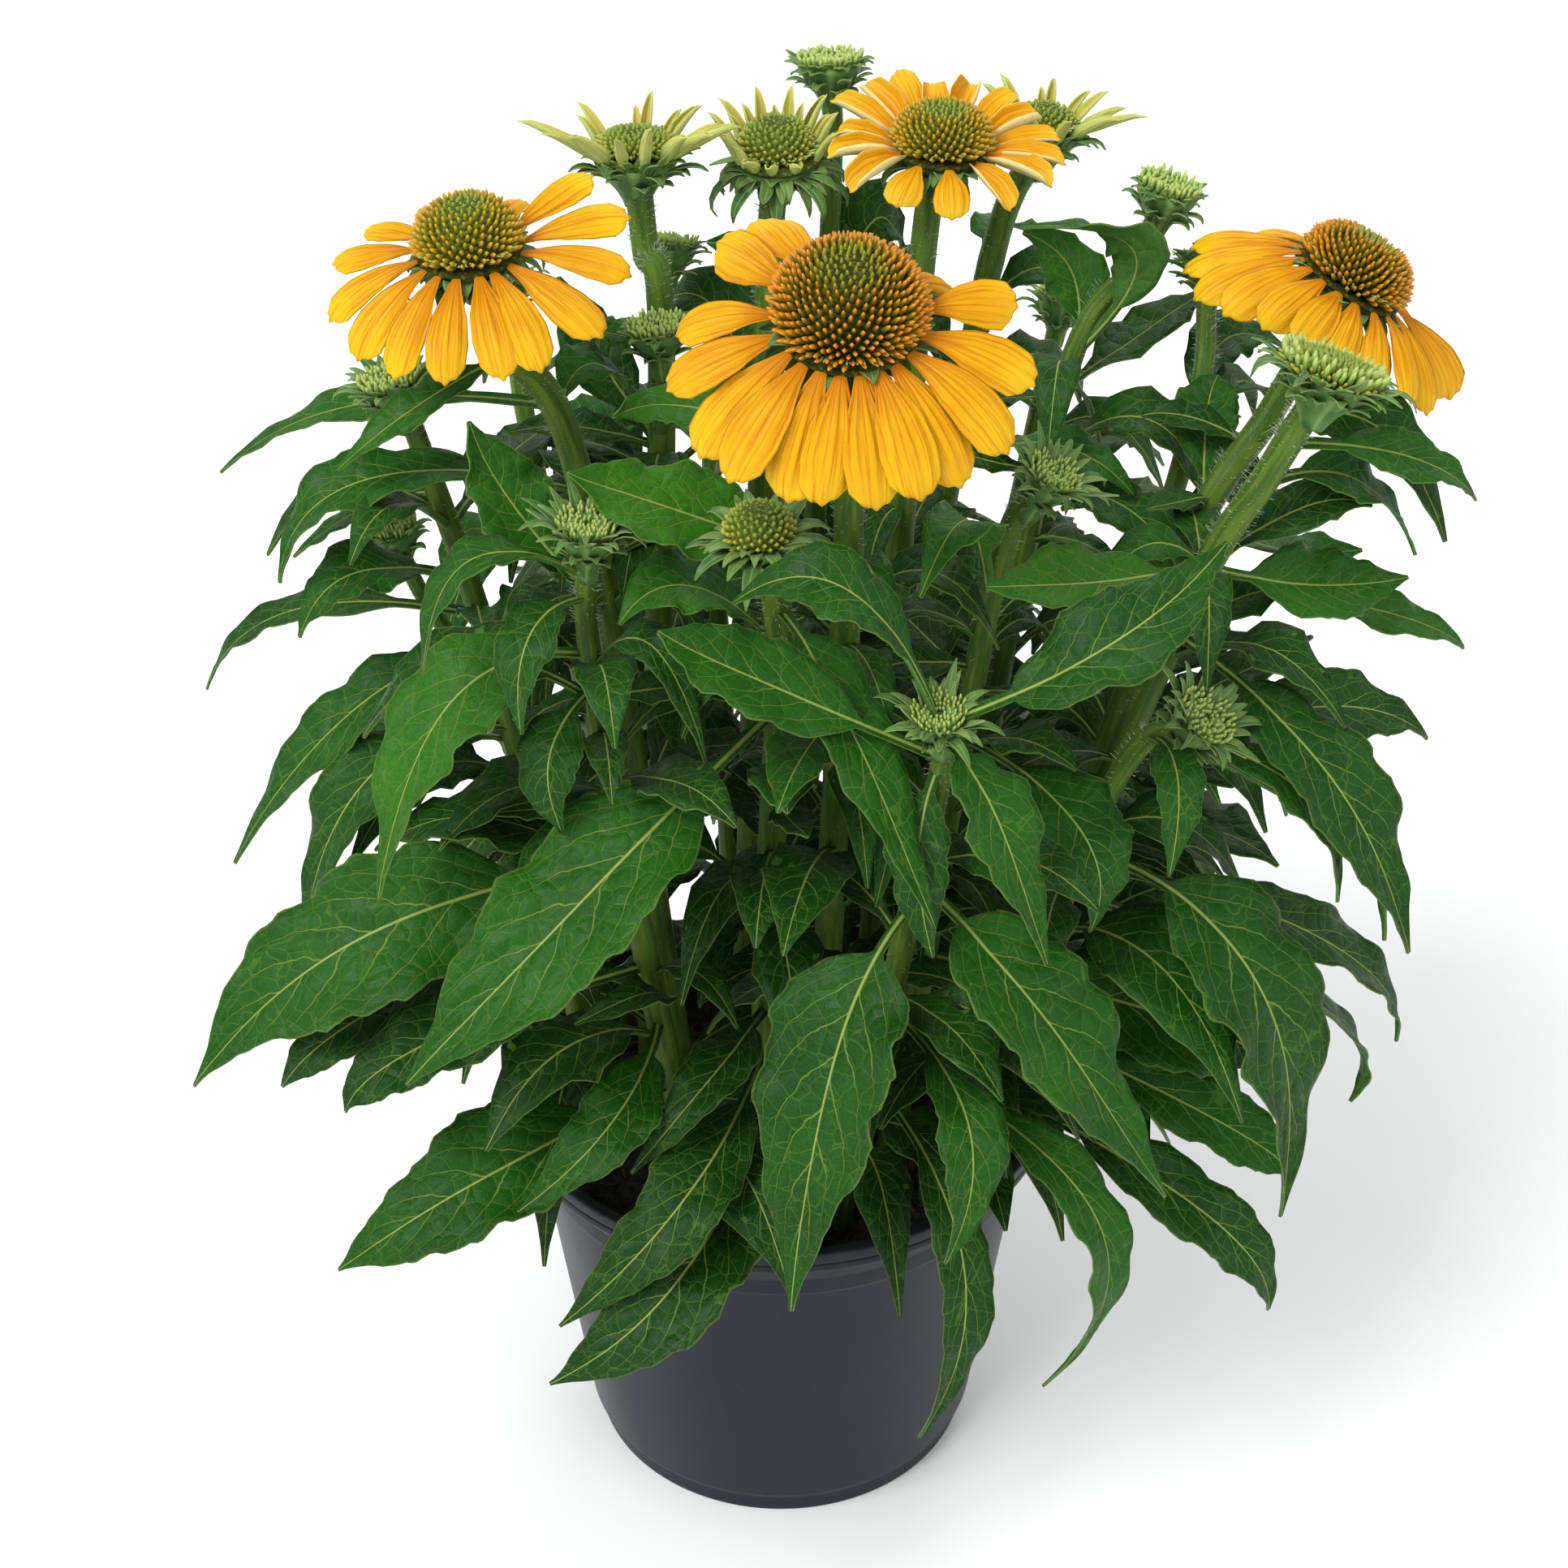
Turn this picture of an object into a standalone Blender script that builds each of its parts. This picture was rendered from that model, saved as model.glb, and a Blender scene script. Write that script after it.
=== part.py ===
"""Golden coneflower in a round nursery pot, modelled at its real size.

The pot stands on the ground with the centre of its foot at the origin. +Z is up and -Y is the side
that is looked at. Sizes and places are written in millimetres and become metres when a mesh is made.
Each leafy stem is one solid: its stalk, its leaves, its bracts and its green buds grow together.
The rays and the cone of every open head are solids of their own, seated on the top of their stem.
"""
import math
import random

import bmesh
import bpy
import numpy as np
from mathutils.bvhtree import BVHTree

MM = 0.001
GAP = 0.3                 # clearance between pieces that rest on each other
WELD = 2e-6               # points nearer than this are one, in metres

# Pot: a thin turned shell with a rolled lip
POT_HEIGHT = 130.0
POT_RIM_RADIUS = 85.0
POT_SHOULDER_RADIUS = 77.6
POT_STEP_HEIGHT = 108.0
POT_FOOT_RADIUS = 61.0
POT_TOE_HEIGHT = 9.0      # the foot is drawn in below this height
POT_WALL = 1.8
POT_LIP_HEIGHT = 7.0
POT_LIP_WIDTH = 4.0
POT_TURNS = 24
DRAIN_HOLES = 4
DRAIN_RADIUS = 5.0
DRAIN_CIRCLE = 34.0

# Soil: fills the pot to a little under the lip
SOIL_TOP = 110.0
SOIL_ROUGHNESS = 1.6
SOIL_RINGS = 3
SOIL_SPOKES = 16
SOIL_FOOT_RADIUS = 58.4
ROOT_DEPTH = 18.0
HOLE_SIDES = 6            # holes for the stalks
HOLE_RADIUS = 5.4
HOLE_OVER = 10.0
COLLAR = 4.0              # a stalk stands upright through the soil up to this height above it

# Stalks
STALK_ROOT_RADIUS = 4.2
HEAD_STALK_RADIUS = 3.7   # under an open head
BUD_STALK_RADIUS = 2.8    # under a bud
BRANCH_RADIUS = 2.3
STALK_STEPS = 4
BRANCH_STEPS = 3
STALK_END = 4.0           # how far below its seat a stalk ends, inside the base of its head

# Blades
BLADE_HALF = 0.45         # half the thickness of a leaf or a ray
RIB_DROP = 0.7            # how far the midrib stands out under a leaf
PETIOLE_HALF = 1.7        # half width of a leaf's stalk where it leaves the stem, and at the tip
PETIOLE_END_HALF = 0.5
PETIOLE_SHARE = 0.2       # how much of a leaf's length is stalk
LANCE = (0.75, 1.35)      # powers that shape a blade's outline at its base and at its tip
KEEL = 0.16               # rise of a leaf's edges over its midrib, for each mm of half width
WAVE = 0.13               # height of the waves along a leaf's edge, for each mm of half width
WAVES = 2.6               # waves along a leaf
WAVE_LAG = 0.7 * math.pi  # how far the right edge's waves lag behind the left edge's
LEAF_STATIONS = (0.0, 0.22, 0.41, 0.62, 0.83)
SMALL_LEAF_STATIONS = (0.0, 0.26, 0.5, 0.77)
SMALL_LEAF = 80.0         # a leaf shorter than this takes the few stations
RAY_STATIONS = (0.0, 0.36, 0.76, 1.0)
QUILL_STATIONS = (0.0, 0.5, 1.0)
RAY_SHAPE = ((0.0, 0.36, 0.6, 0.85, 1.0), (0.3, 0.9, 1.0, 0.86, 0.5))   # places, half widths
RAY_DROOP_POWER = 1.2     # above one, a ray bends down more towards its tip
RING_HEIGHT = 1.6         # thickness of the ring that the rays grow from
RING_SHARE = 0.92         # radius of that ring, as a share of the cone's
QUILL_RING_SHARE = 1.08
RAY_ARCH = 0.16           # how far a ray's edges hang under its middle, for each mm of half width

# Cones: rings of spines, points on a ring, how far a spine stands out
LARGE_CONE = (6, 14, 2.4)
SMALL_CONE = (4, 10, 1.8)
LARGE_CONE_RADIUS = 12.0  # a wider cone than this is a large one
CONE_SEAT = 0.7           # share of the radius that a cone sits on
CONE_SHOULDER = 0.14      # height of a cone's widest part, as a share of its height
CONE_LOWEST = -8          # slope of the lowest spines, in degrees

# Green bases of buds and heads: heights from their seat, and shares of their radius
BUD_FOOT = -7.0
BUD_UNDER = (0.85, -1.6)
BUD_BRACTS = (0.95, -0.2, 0.15)      # share, height, slope of the bracts in radians
BUD_SHOULDER = 1.4
BUD_CROWN_SHARE = 0.62
BUD_CROWN_RELIEF = 1.6
BASE_SHARE = 0.8                     # radius of the base under a cone, as a share of the cone's
BASE_FOOT = -11.0
BASE_UNDER = (0.75, -4.6)
BASE_BRACTS = (0.95, -3.2)
BASE_BRACT_REACH = 10.0
BRACT_DROOP = -0.7                   # slope of the bracts under a head with rays, in radians
BRACT_SPREAD = -0.1                  # and under a green head

# Stems, each from its root on the soil to its top: (x, y), then the points it passes
STEMS = {
    "front_bloom": [(12, -10), (17, -50, 325), (16, -77, 411)],
    "low_head": [(-6, -32), (-3, -36, 219), (0, -52, 310), (-5, -70, 352)],
    "left_bloom": [(-28, -8), (-51, -20, 334), (-69, -24, 383), (-77, -24, 407)],
    "left_opening": [(-42, 20), (-33, 30, 352), (-37, 38, 385), (-39, 42, 409)],
    "middle_opening": [(-12, 14), (-4, 44, 357), (-1, 53, 405)],
    "top_bud": [(2, 44), (14, 78, 371), (14, 84, 420)],
    "back_bloom": [(26, 12), (38, 40, 364), (44, 50, 408)],
    "rear_opening": [(26, 50), (58, 78, 348), (75, 86, 401)],
    "right_tall_bud": [(48, 30), (77, 34, 335), (97, 42, 378), (105, 42, 398)],
    "right_hidden_bud": [(62, 18), (112, 26, 320), (121, 56, 372)],
    "right_bloom": [(62, 0), (107, -6, 303), (133, 8, 350), (151, 15, 384)],
    "right_green": [(54, -20), (104, -34, 302), (125, -38, 354), (137, -39, 380)],
    "centre_bud": [(34, -18), (55, -44, 322), (67, -52, 357)],
    "low_right_bud": [(46, -38), (88, -58, 271), (107, -70, 298)],
    "low_front_bud": [(18, -46), (39, -84, 280), (39, -98, 315)],
    "near_left_bud": [(-26, -40), (-48, -54, 296), (-48, -60, 346)],
    "far_left_bud": [(-54, -12), (-77, -16, 274), (-95, -10, 346), (-101, -10, 364)],
    "rear_left": [(-38, 46), (-74, 92, 280), (-84, 112, 344)],
    "rear_middle": [(-14, 62), (-22, 118, 270), (-20, 140, 330)],
    "rear_right": [(42, 50), (76, 112, 270), (88, 132, 330)],
}

# Side branches: stem, height where it leaves, the points it passes
BRANCHES = {
    "left_side_bud": ("left_opening", 350, [(-33, 52, 366), (-31, 58, 376)]),
    "left_low_side_bud": ("left_opening", 335, [(-31, 16, 352), (-33, 14, 369)]),
    "far_left_low_bud": ("far_left_bud", 270, [(-98, -2, 296), (-106, 0, 316)]),
}

# Green buds at the end of a stem or a branch: radius, height of the crown, bracts, bract length
BUDS = {
    "top_bud": (9.0, 4.0, 8, 8.0),
    "right_tall_bud": (8.5, 5.0, 7, 7.0),
    "right_hidden_bud": (8.0, 4.0, 7, 9.0),
    "centre_bud": (6.5, 5.0, 7, 12.0),
    "low_right_bud": (8.0, 5.0, 8, 13.0),
    "low_front_bud": (6.5, 5.0, 8, 12.0),
    "near_left_bud": (7.5, 6.0, 8, 13.0),
    "far_left_bud": (8.5, 5.0, 7, 10.0),
    "left_side_bud": (7.0, 4.0, 6, 8.0),
    "left_low_side_bud": (7.5, 4.0, 6, 8.0),
    "far_left_low_bud": (7.0, 4.0, 6, 8.0),
    "rear_left": (7.5, 5.0, 7, 10.0),
    "rear_middle": (8.0, 5.0, 7, 11.0),
    "rear_right": (7.5, 5.0, 7, 10.0),
}

# Open heads: lean to the right and to the front in degrees, cone radius and height, bracts
HEADS = {
    "front_bloom": dict(lean=(0, 27), cone=(19.0, 17.0), bracts=8),
    "left_bloom": dict(lean=(-4, 10), cone=(14.5, 14.0), bracts=8),
    "back_bloom": dict(lean=(2, 6), cone=(14.5, 13.0), bracts=8),
    "right_bloom": dict(lean=(29, 4), cone=(16.5, 14.0), bracts=8),
    "left_opening": dict(lean=(0, 0), cone=(11.0, 7.0), bracts=8),
    "middle_opening": dict(lean=(0, 8), cone=(11.0, 11.0), bracts=10),
    "rear_opening": dict(lean=(6, 0), cone=(9.5, 8.0), bracts=8),
    "right_green": dict(lean=(17, -8), cone=(14.0, 7.0), bracts=10),
    "low_head": dict(lean=(-4, 10), cone=(9.5, 9.0), bracts=9),
}

# Rays of an open head: bearing from the front in degrees (right is positive), length, width,
# angle over the head's own plane where it starts, and the angle it has turned down by at its tip
RAYS = {
    "front_bloom": [
        (-7, 32, 13.5, -14, 56), (8, 33, 13.5, -14, 54), (22, 33, 13.5, -6, 54),
        (36, 34, 13.0, -12, 48), (52, 34, 13.0, -2, 44), (72, 30, 12.0, 2, 38),
        (98, 23, 11.0, 8, 26), (-22, 33, 13.5, -18, 52), (-37, 34, 13.5, -6, 52),
        (-52, 34, 13.0, -12, 48), (-70, 30, 12.0, 0, 42), (-92, 26, 11.0, 8, 56),
        (-124, 21, 13.0, 24, 20), (-148, 23, 12.0, 22, 20), (15, 31, 12.0, -26, 52),
        (124, 23, 11.0, -20, 60), (150, 23, 11.0, -24, 60), (176, 23, 11.0, -24, 60),
    ],
    "left_bloom": [
        (-10, 28, 10.0, -22, 34), (-32, 29, 10.0, -18, 36), (-52, 29, 10.0, -14, 36),
        (-74, 28, 9.5, -8, 34), (-98, 24, 8.5, 0, 18), (-122, 20, 8.5, 4, 14),
        (-150, 16, 8.5, 4, 12), (14, 29, 11.0, -18, 30), (30, 30, 11.0, -16, 30),
        (52, 31, 11.0, -10, 26), (78, 29, 9.5, 2, 18), (102, 28, 10.0, 14, 16),
        (128, 26, 9.5, 22, 14), (160, 18, 9.0, 0, 16), (184, 16, 9.0, 6, 12),
    ],
    "back_bloom": [
        (6, 15, 10.0, -20, 40), (-30, 14, 9.5, -16, 36), (38, 17, 7.5, -14, 20),
        (-58, 18, 7.0, -8, 20), (-76, 19, 6.5, 6, 10), (-96, 16, 5.5, 12, 0),
        (-116, 22, 7.5, 22, 6), (-136, 20, 7.5, 28, 6), (-160, 22, 8.0, 30, 6),
        (64, 20, 7.5, -2, 10), (80, 21, 7.5, 4, 8), (98, 20, 6.5, 10, 4),
        (116, 18, 7.0, 20, 6), (138, 19, 7.5, 28, 4), (162, 18, 7.5, 28, 6),
        (184, 17, 7.5, 28, 6),
    ],
    "right_bloom": [
        (-96, 33, 11.5, -8, 18), (-80, 32, 12.0, -12, 24), (-112, 31, 10.0, -6, 14),
        (-62, 28, 12.0, -14, 28), (-42, 23, 11.5, -16, 40), (-22, 21, 11.0, -20, 44),
        (-2, 21, 11.0, -24, 42), (22, 22, 11.0, -24, 34), (44, 25, 10.0, -16, 28),
        (64, 29, 9.5, -18, 30), (86, 33, 9.5, -12, 26), (112, 27, 9.0, -14, 30),
        (138, 25, 9.0, -14, 30), (166, 25, 9.0, -14, 30), (194, 25, 9.0, -14, 30),
        (220, 19, 9.0, -12, 26),
    ],
    "left_opening": [
        (-86, 22, 4.4, 26, -8), (-64, 18, 4.4, 34, -6), (-38, 17, 4.4, 42, -6),
        (-14, 12, 4.0, 62, 0), (16, 14, 4.0, 70, 0), (44, 15, 4.4, 46, -4),
        (60, 17, 4.4, 38, -4), (84, 19, 4.4, 28, -6), (130, 14, 4.0, 46, 0),
        (170, 14, 4.0, 58, 0), (-130, 14, 4.0, 50, 0),
    ],
    "middle_opening": [
        (-30, 8, 4.2, 44, -6), (-6, 6, 4.2, 46, -4), (26, 6, 4.2, 44, -4),
        (-62, 12, 4.2, 62, -4), (-96, 14, 4.2, 62, -4), (72, 12, 4.2, 60, -6),
        (104, 12, 4.2, 64, -4), (136, 14, 4.2, 62, 0), (166, 14, 4.2, 66, 0),
        (-130, 14, 4.2, 60, 0), (-160, 14, 4.2, 66, 0),
    ],
    "rear_opening": [
        (-90, 15, 4.2, 56, 0), (-60, 15, 4.2, 58, 0), (-130, 14, 4.2, 60, 0),
        (-24, 9, 4.2, 60, 0), (20, 11, 4.2, 56, 0), (58, 16, 4.2, 40, 0),
        (86, 20, 4.2, 26, -4), (124, 16, 4.2, 40, 0), (170, 13, 4.2, 58, 0),
    ],
}
QUILLED = ("left_opening", "middle_opening", "rear_opening")

# Leaves of the side that is looked at: stem, height where the leaf leaves it, the middle of its
# midrib, its tip, its width, and how far it turns its face to the front, in degrees
LEAVES = [
    ("left_bloom", 380, (-91, -34, 371), (-112, -42, 356), 13, 30),
    ("left_bloom", 365, (-115, 8, 352), (-155, 14, 329), 14, 30),
    ("left_bloom", 340, (-107, -32, 349), (-130, -42, 324), 20, 20),
    ("far_left_bud", 335, (-113, -2, 326), (-134, -2, 311), 13, 30),
    ("far_left_bud", 310, (-111, -34, 323), (-126, -44, 309), 20, 25),
    ("far_left_bud", 300, (-138, 6, 290), (-166, 10, 262), 12, 30),
    ("near_left_bud", 330, (-68, -52, 354), (-78, -50, 378), 24, 50),
    ("near_left_bud", 335, (-76, -74, 347), (-88, -84, 321), 14, 10),
    ("near_left_bud", 328, (-62, -80, 329), (-64, -90, 307), 17, 20),
    ("far_left_bud", 290, (-117, -34, 280), (-152, -40, 235), 21, 30),
    ("near_left_bud", 310, (-84, -72, 305), (-104, -88, 255), 31, 30),
    ("far_left_bud", 265, (-111, -48, 268), (-132, -58, 217), 22, 30),
    ("near_left_bud", 240, (-112, -70, 236), (-163, -72, 190), 44, 40),
    ("far_left_bud", 195, (-110, -72, 209), (-136, -84, 191), 24, 35),
    ("near_left_bud", 205, (-94, -86, 208), (-117, -96, 192), 24, 35),
    ("low_head", 290, (-52, -92, 257), (-97, -112, 214), 42, 30),
    ("near_left_bud", 160, (-82, -88, 162), (-124, -96, 135), 36, 35),
    ("near_left_bud", 185, (-45, -86, 182), (-72, -100, 160), 23, 30),
    ("low_head", 180, (-18, -74, 191), (-41, -92, 173), 18, 20),
    ("low_head", 165, (-25, -98, 165), (-61, -112, 129), 26, 30),
    ("low_head", 150, (-25, -104, 144), (-64, -118, 113), 35, 30),
    ("low_front_bud", 245, (14, -104, 215), (3, -122, 144), 42, 0),
    ("low_front_bud", 255, (66, -104, 233), (103, -112, 176), 40, 20),
    ("low_head", 325, (16, -84, 309), (39, -108, 261), 22, 10),
    ("low_front_bud", 315, (16, -104, 355), (-11, -96, 347), 20, 40),
    ("low_front_bud", 300, (-6, -84, 319), (-29, -84, 330), 24, 40),
    ("low_front_bud", 310, (52, -112, 298), (66, -122, 260), 22, 10),
    ("centre_bud", 275, (77, -84, 275), (80, -94, 250), 26, 20),
    ("low_front_bud", 300, (35, -96, 276), (39, -104, 249), 18, 0),
    ("low_front_bud", 205, (50, -108, 196), (44, -124, 163), 20, 0),
    ("low_front_bud", 175, (50, -112, 151), (39, -122, 96), 17, 0),
    ("low_front_bud", 315, (78, -104, 340), (107, -84, 357), 25, 40),
    ("right_green", 325, (76, -70, 339), (50, -84, 345), 22, 40),
    ("right_green", 305, (142, -74, 284), (166, -84, 236), 28, 30),
    ("right_green", 325, (144, -24, 314), (170, -16, 312), 23, 45),
    ("right_bloom", 305, (164, -6, 297), (194, 4, 279), 14, 30),
    ("low_right_bud", 285, (149, -34, 282), (179, -26, 267), 22, 35),
    ("right_green", 362, (162, -34, 356), (181, -30, 342), 15, 40),
    ("right_green", 350, (151, -24, 345), (170, -20, 321), 16, 40),
    ("low_right_bud", 290, (100, -88, 293), (99, -94, 267), 14, 10),
    ("low_right_bud", 290, (133, -74, 288), (146, -82, 264), 14, 30),
    ("low_right_bud", 290, (149, -52, 255), (167, -56, 220), 13, 10),
    ("low_right_bud", 250, (127, -84, 226), (139, -94, 153), 40, 30),
    ("low_right_bud", 245, (156, -40, 208), (180, -38, 171), 22, 30),
    ("centre_bud", 195, (112, -56, 193), (134, -62, 182), 33, 40),
    ("low_right_bud", 235, (160, -26, 175), (173, -24, 137), 15, 30),
    ("low_right_bud", 185, (123, -70, 168), (144, -78, 154), 22, 35),
    ("low_front_bud", 185, (86, -104, 162), (75, -106, 100), 20, 10),
    ("low_right_bud", 160, (118, -88, 150), (139, -94, 118), 22, 30),
    ("right_tall_bud", 355, (96, 30, 387), (64, 24, 396), 17, 30),
    ("right_tall_bud", 355, (82, 52, 372), (68, 58, 382), 20, 40),
    ("right_hidden_bud", 330, (128, 62, 348), (151, 66, 341), 18, 30),
    ("right_bloom", 325, (117, 16, 345), (122, 32, 350), 20, 30),
    ("rear_opening", 305, (90, 26, 336), (115, 14, 329), 16, 30),
    ("right_tall_bud", 315, (96, -4, 336), (113, -14, 322), 19, 30),
    ("right_green", 335, (142, -2, 313), (162, 6, 309), 18, 30),
    ("centre_bud", 320, (46, -66, 354), (34, -84, 342), 19, 20),
    ("left_opening", 360, (-42, 22, 369), (-57, 18, 377), 14, 30),
    ("left_opening", 335, (-49, 12, 362), (-59, 0, 355), 20, 30),
    ("front_bloom", 370, (-21, -30, 368), (-42, -36, 368), 18, 30),
    ("front_bloom", 335, (-24, -64, 352), (-50, -72, 364), 26, 40),
    ("low_head", 310, (-23, -60, 333), (-40, -72, 328), 22, 30),
    ("near_left_bud", 300, (-59, -74, 291), (-56, -80, 271), 19, 10),
    ("near_left_bud", 190, (-37, -60, 205), (-57, -68, 200), 15, 20),
    ("far_left_bud", 150, (-63, -54, 178), (-78, -68, 175), 23, 35),
    ("rear_opening", 365, (65, 96, 371), (88, 112, 356), 16, 0),
]

# Leaves of the far side follow a rule: pairs that cross from knot to knot up the stem.
# Stem, height of the lowest pair, number of pairs, bearing of the first leaf in degrees
REAR_LEAVES = [
    ("rear_left", 165, 3, 120),
    ("rear_middle", 145, 4, 95),
    ("rear_right", 170, 3, 70),
]
REAR_KNOT_STEP = 46.0
REAR_KNOT_TURN = 78       # from one pair to the next, in degrees
REAR_LENGTHS = (104, -13)  # length and width of the lowest pair, and the change from pair to pair
REAR_WIDTHS = (38, -4.4)
REAR_SEED = 11
LEAF_SEED = 3
BRACT_SEED = 7
SOIL_SEED = 5

ROOT_REACH = 14.0          # leaves of one stem may touch this near to where they grow

# The turns and lifts tried, in this order, to bend a leaf clear of its neighbours
BEND_TURNS = (0, 5, -5, 10, -10, 16, -16, 23, -23, 31, -31, 40, -40, 52, -52, 66, -66)
BEND_LIFTS = (0, 6, -6, 13, -13, 21, -21)


def clear_scene():
    for thing in list(bpy.data.objects):
        bpy.data.objects.remove(thing, do_unlink=True)


def make_collection(name):
    group = bpy.data.collections.new(name)
    bpy.context.scene.collection.children.link(group)
    return group


def make_material(name, colour, roughness, metallic=0.0):
    mat = bpy.data.materials.new(name)
    mat.use_nodes = True
    shader = mat.node_tree.nodes["Principled BSDF"]
    shader.inputs["Base Color"].default_value = (*colour, 1.0)
    shader.inputs["Roughness"].default_value = roughness
    shader.inputs["Metallic"].default_value = metallic
    return mat


def unit(v):
    """Scale vectors to length one along their last axis."""
    v = np.asarray(v, float)
    return v / np.linalg.norm(v, axis=-1, keepdims=True)


def smooth_path(points, steps):
    """Read steps + 1 evenly numbered points from a Catmull-Rom curve through the given ones."""
    p = np.asarray(points, float)
    p = np.vstack([2 * p[0] - p[1], p, 2 * p[-1] - p[-2]])
    at = np.linspace(0, len(p) - 3, steps + 1)
    k = np.minimum(at.astype(int), len(p) - 4)
    t = (at - k)[:, None]
    a, b, c, d = p[k], p[k + 1], p[k + 2], p[k + 3]
    return 0.5 * (2 * b + (c - a) * t + (2 * a - 5 * b + 4 * c - d) * t**2
                  + (3 * b - a - 3 * c + d) * t**3)


def stem_path(stem, steps):
    """Points of a stalk from the foot of its hole to its top; the first stretch is upright."""
    (x, y), *rest = STEMS[stem]
    collar = (x, y, SOIL_TOP + COLLAR)
    return np.vstack([[(x, y, SOIL_TOP - ROOT_DEPTH)], smooth_path([collar, *rest], steps)])


def branch_path(branch, steps):
    stem, height, points = BRANCHES[branch]
    return smooth_path([stem_place(stem, height), *points], steps)


def stem_place(stem, height):
    """The point of a stem's axis at a height over the ground."""
    path = stem_path(stem, STALK_STEPS)
    return np.array([np.interp(height, path[:, 2], path[:, axis]) for axis in range(3)])


def head_axes(stem, lean=None):
    """Seat of a head, its axis, and the two directions of its plane: right and front."""
    if stem in BRANCHES:
        path = branch_path(stem, BRANCH_STEPS)
    else:
        path = stem_path(stem, STALK_STEPS)
    if lean is None:
        axis = unit(unit(path[-1] - path[-2]) + (0, 0, 0.6))
    else:
        right, front = (math.tan(math.radians(angle)) for angle in lean)
        axis = unit((right, -front, 1.0))
    across = unit(np.cross((0, 1, 0), axis))
    return path[-1], axis, across, np.cross(across, axis)


def mesh_from(name, verts, faces):
    """Make a mesh in metres from points in millimetres."""
    mesh = bpy.data.meshes.new(name)
    mesh.from_pydata((np.asarray(verts) * MM).tolist(), [], [tuple(map(int, f)) for f in faces])
    mesh.update()
    return mesh


def slab(upper, lower):
    """Close two rows-by-columns sheets into one slab, cut into triangles alike on both faces."""
    rows, cols = upper.shape[:2]
    verts = np.vstack([upper.reshape(-1, 3), lower.reshape(-1, 3)])
    under = rows * cols
    faces = []
    for i in range(rows - 1):
        for j in range(cols - 1):
            a, b = i * cols + j, i * cols + j + 1
            c, d = a + cols, b + cols
            left = j < cols // 2
            pair = [(a, b, d), (a, d, c)] if left else [(a, b, c), (b, d, c)]
            for face in pair:
                faces.append(face)
                faces.append(tuple(under + k for k in reversed(face)))
        a, c = i * cols, (i + 1) * cols
        faces += [(a, c, under + c), (a, under + c, under + a)]
        b, d = a + cols - 1, c + cols - 1
        faces += [(b, under + b, under + d), (b, under + d, d)]
    for j in range(cols - 1):
        a, b = j, j + 1
        faces += [(b, a, under + a), (b, under + a, under + b)]
        c, d = a + (rows - 1) * cols, b + (rows - 1) * cols
        faces += [(c, d, under + d), (c, under + d, under + c)]
    return verts, faces


def leaf_sheet(base, via, tip, width, face, wave_start, t, u):
    """Points of a leaf, t along its midrib and u across it from edge to edge.

    The midrib is a parabola through base, via and tip. The edges rise over it like a keel and
    wave up and down, each edge in its own time. Returns the points and the blade's normal.
    """
    t = np.asarray(t, float)[:, None]
    bend = 2 * via - 0.5 * (base + tip)
    rib = (1 - t)**2 * base + 2 * t * (1 - t) * bend + t**2 * tip
    run = unit(2 * (1 - t) * (bend - base) + 2 * t * (tip - bend))
    bearing = (via - base) + (tip - base)
    bearing[2] = 0.0
    up = (0.0, -math.sin(math.radians(face)), math.cos(math.radians(face)))
    side = np.cross(unit(bearing), up)
    side = unit(side - run * (run @ side)[:, None])
    normal = np.cross(side, run)
    half = leaf_half_width(t[:, 0], width)
    u = np.asarray(u, float)
    edge = np.abs(u)**1.5
    turn = wave_start + WAVE_LAG * (u > 0)
    wave = WAVE * np.sin(2 * np.pi * WAVES * t + turn) * np.abs(u)**2
    rise = half[:, None] * (KEEL * edge + wave)
    points = rib[:, None] + side[:, None] * (half[:, None] * u)[..., None]
    return points + normal[:, None] * rise[..., None], normal


def leaf_half_width(t, width):
    """Half width along a leaf: a slim stalk, then a lance widest at a third of the blade."""
    low, high = LANCE
    widest = low / (low + high)
    s = np.clip((t - PETIOLE_SHARE) / (1 - PETIOLE_SHARE), 0, 1)
    lance = s**low * (1 - s)**high / (widest**low * (1 - widest)**high)
    slim = PETIOLE_HALF + (PETIOLE_END_HALF - PETIOLE_HALF) * t
    return slim + (width / 2 - slim) * lance


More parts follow.
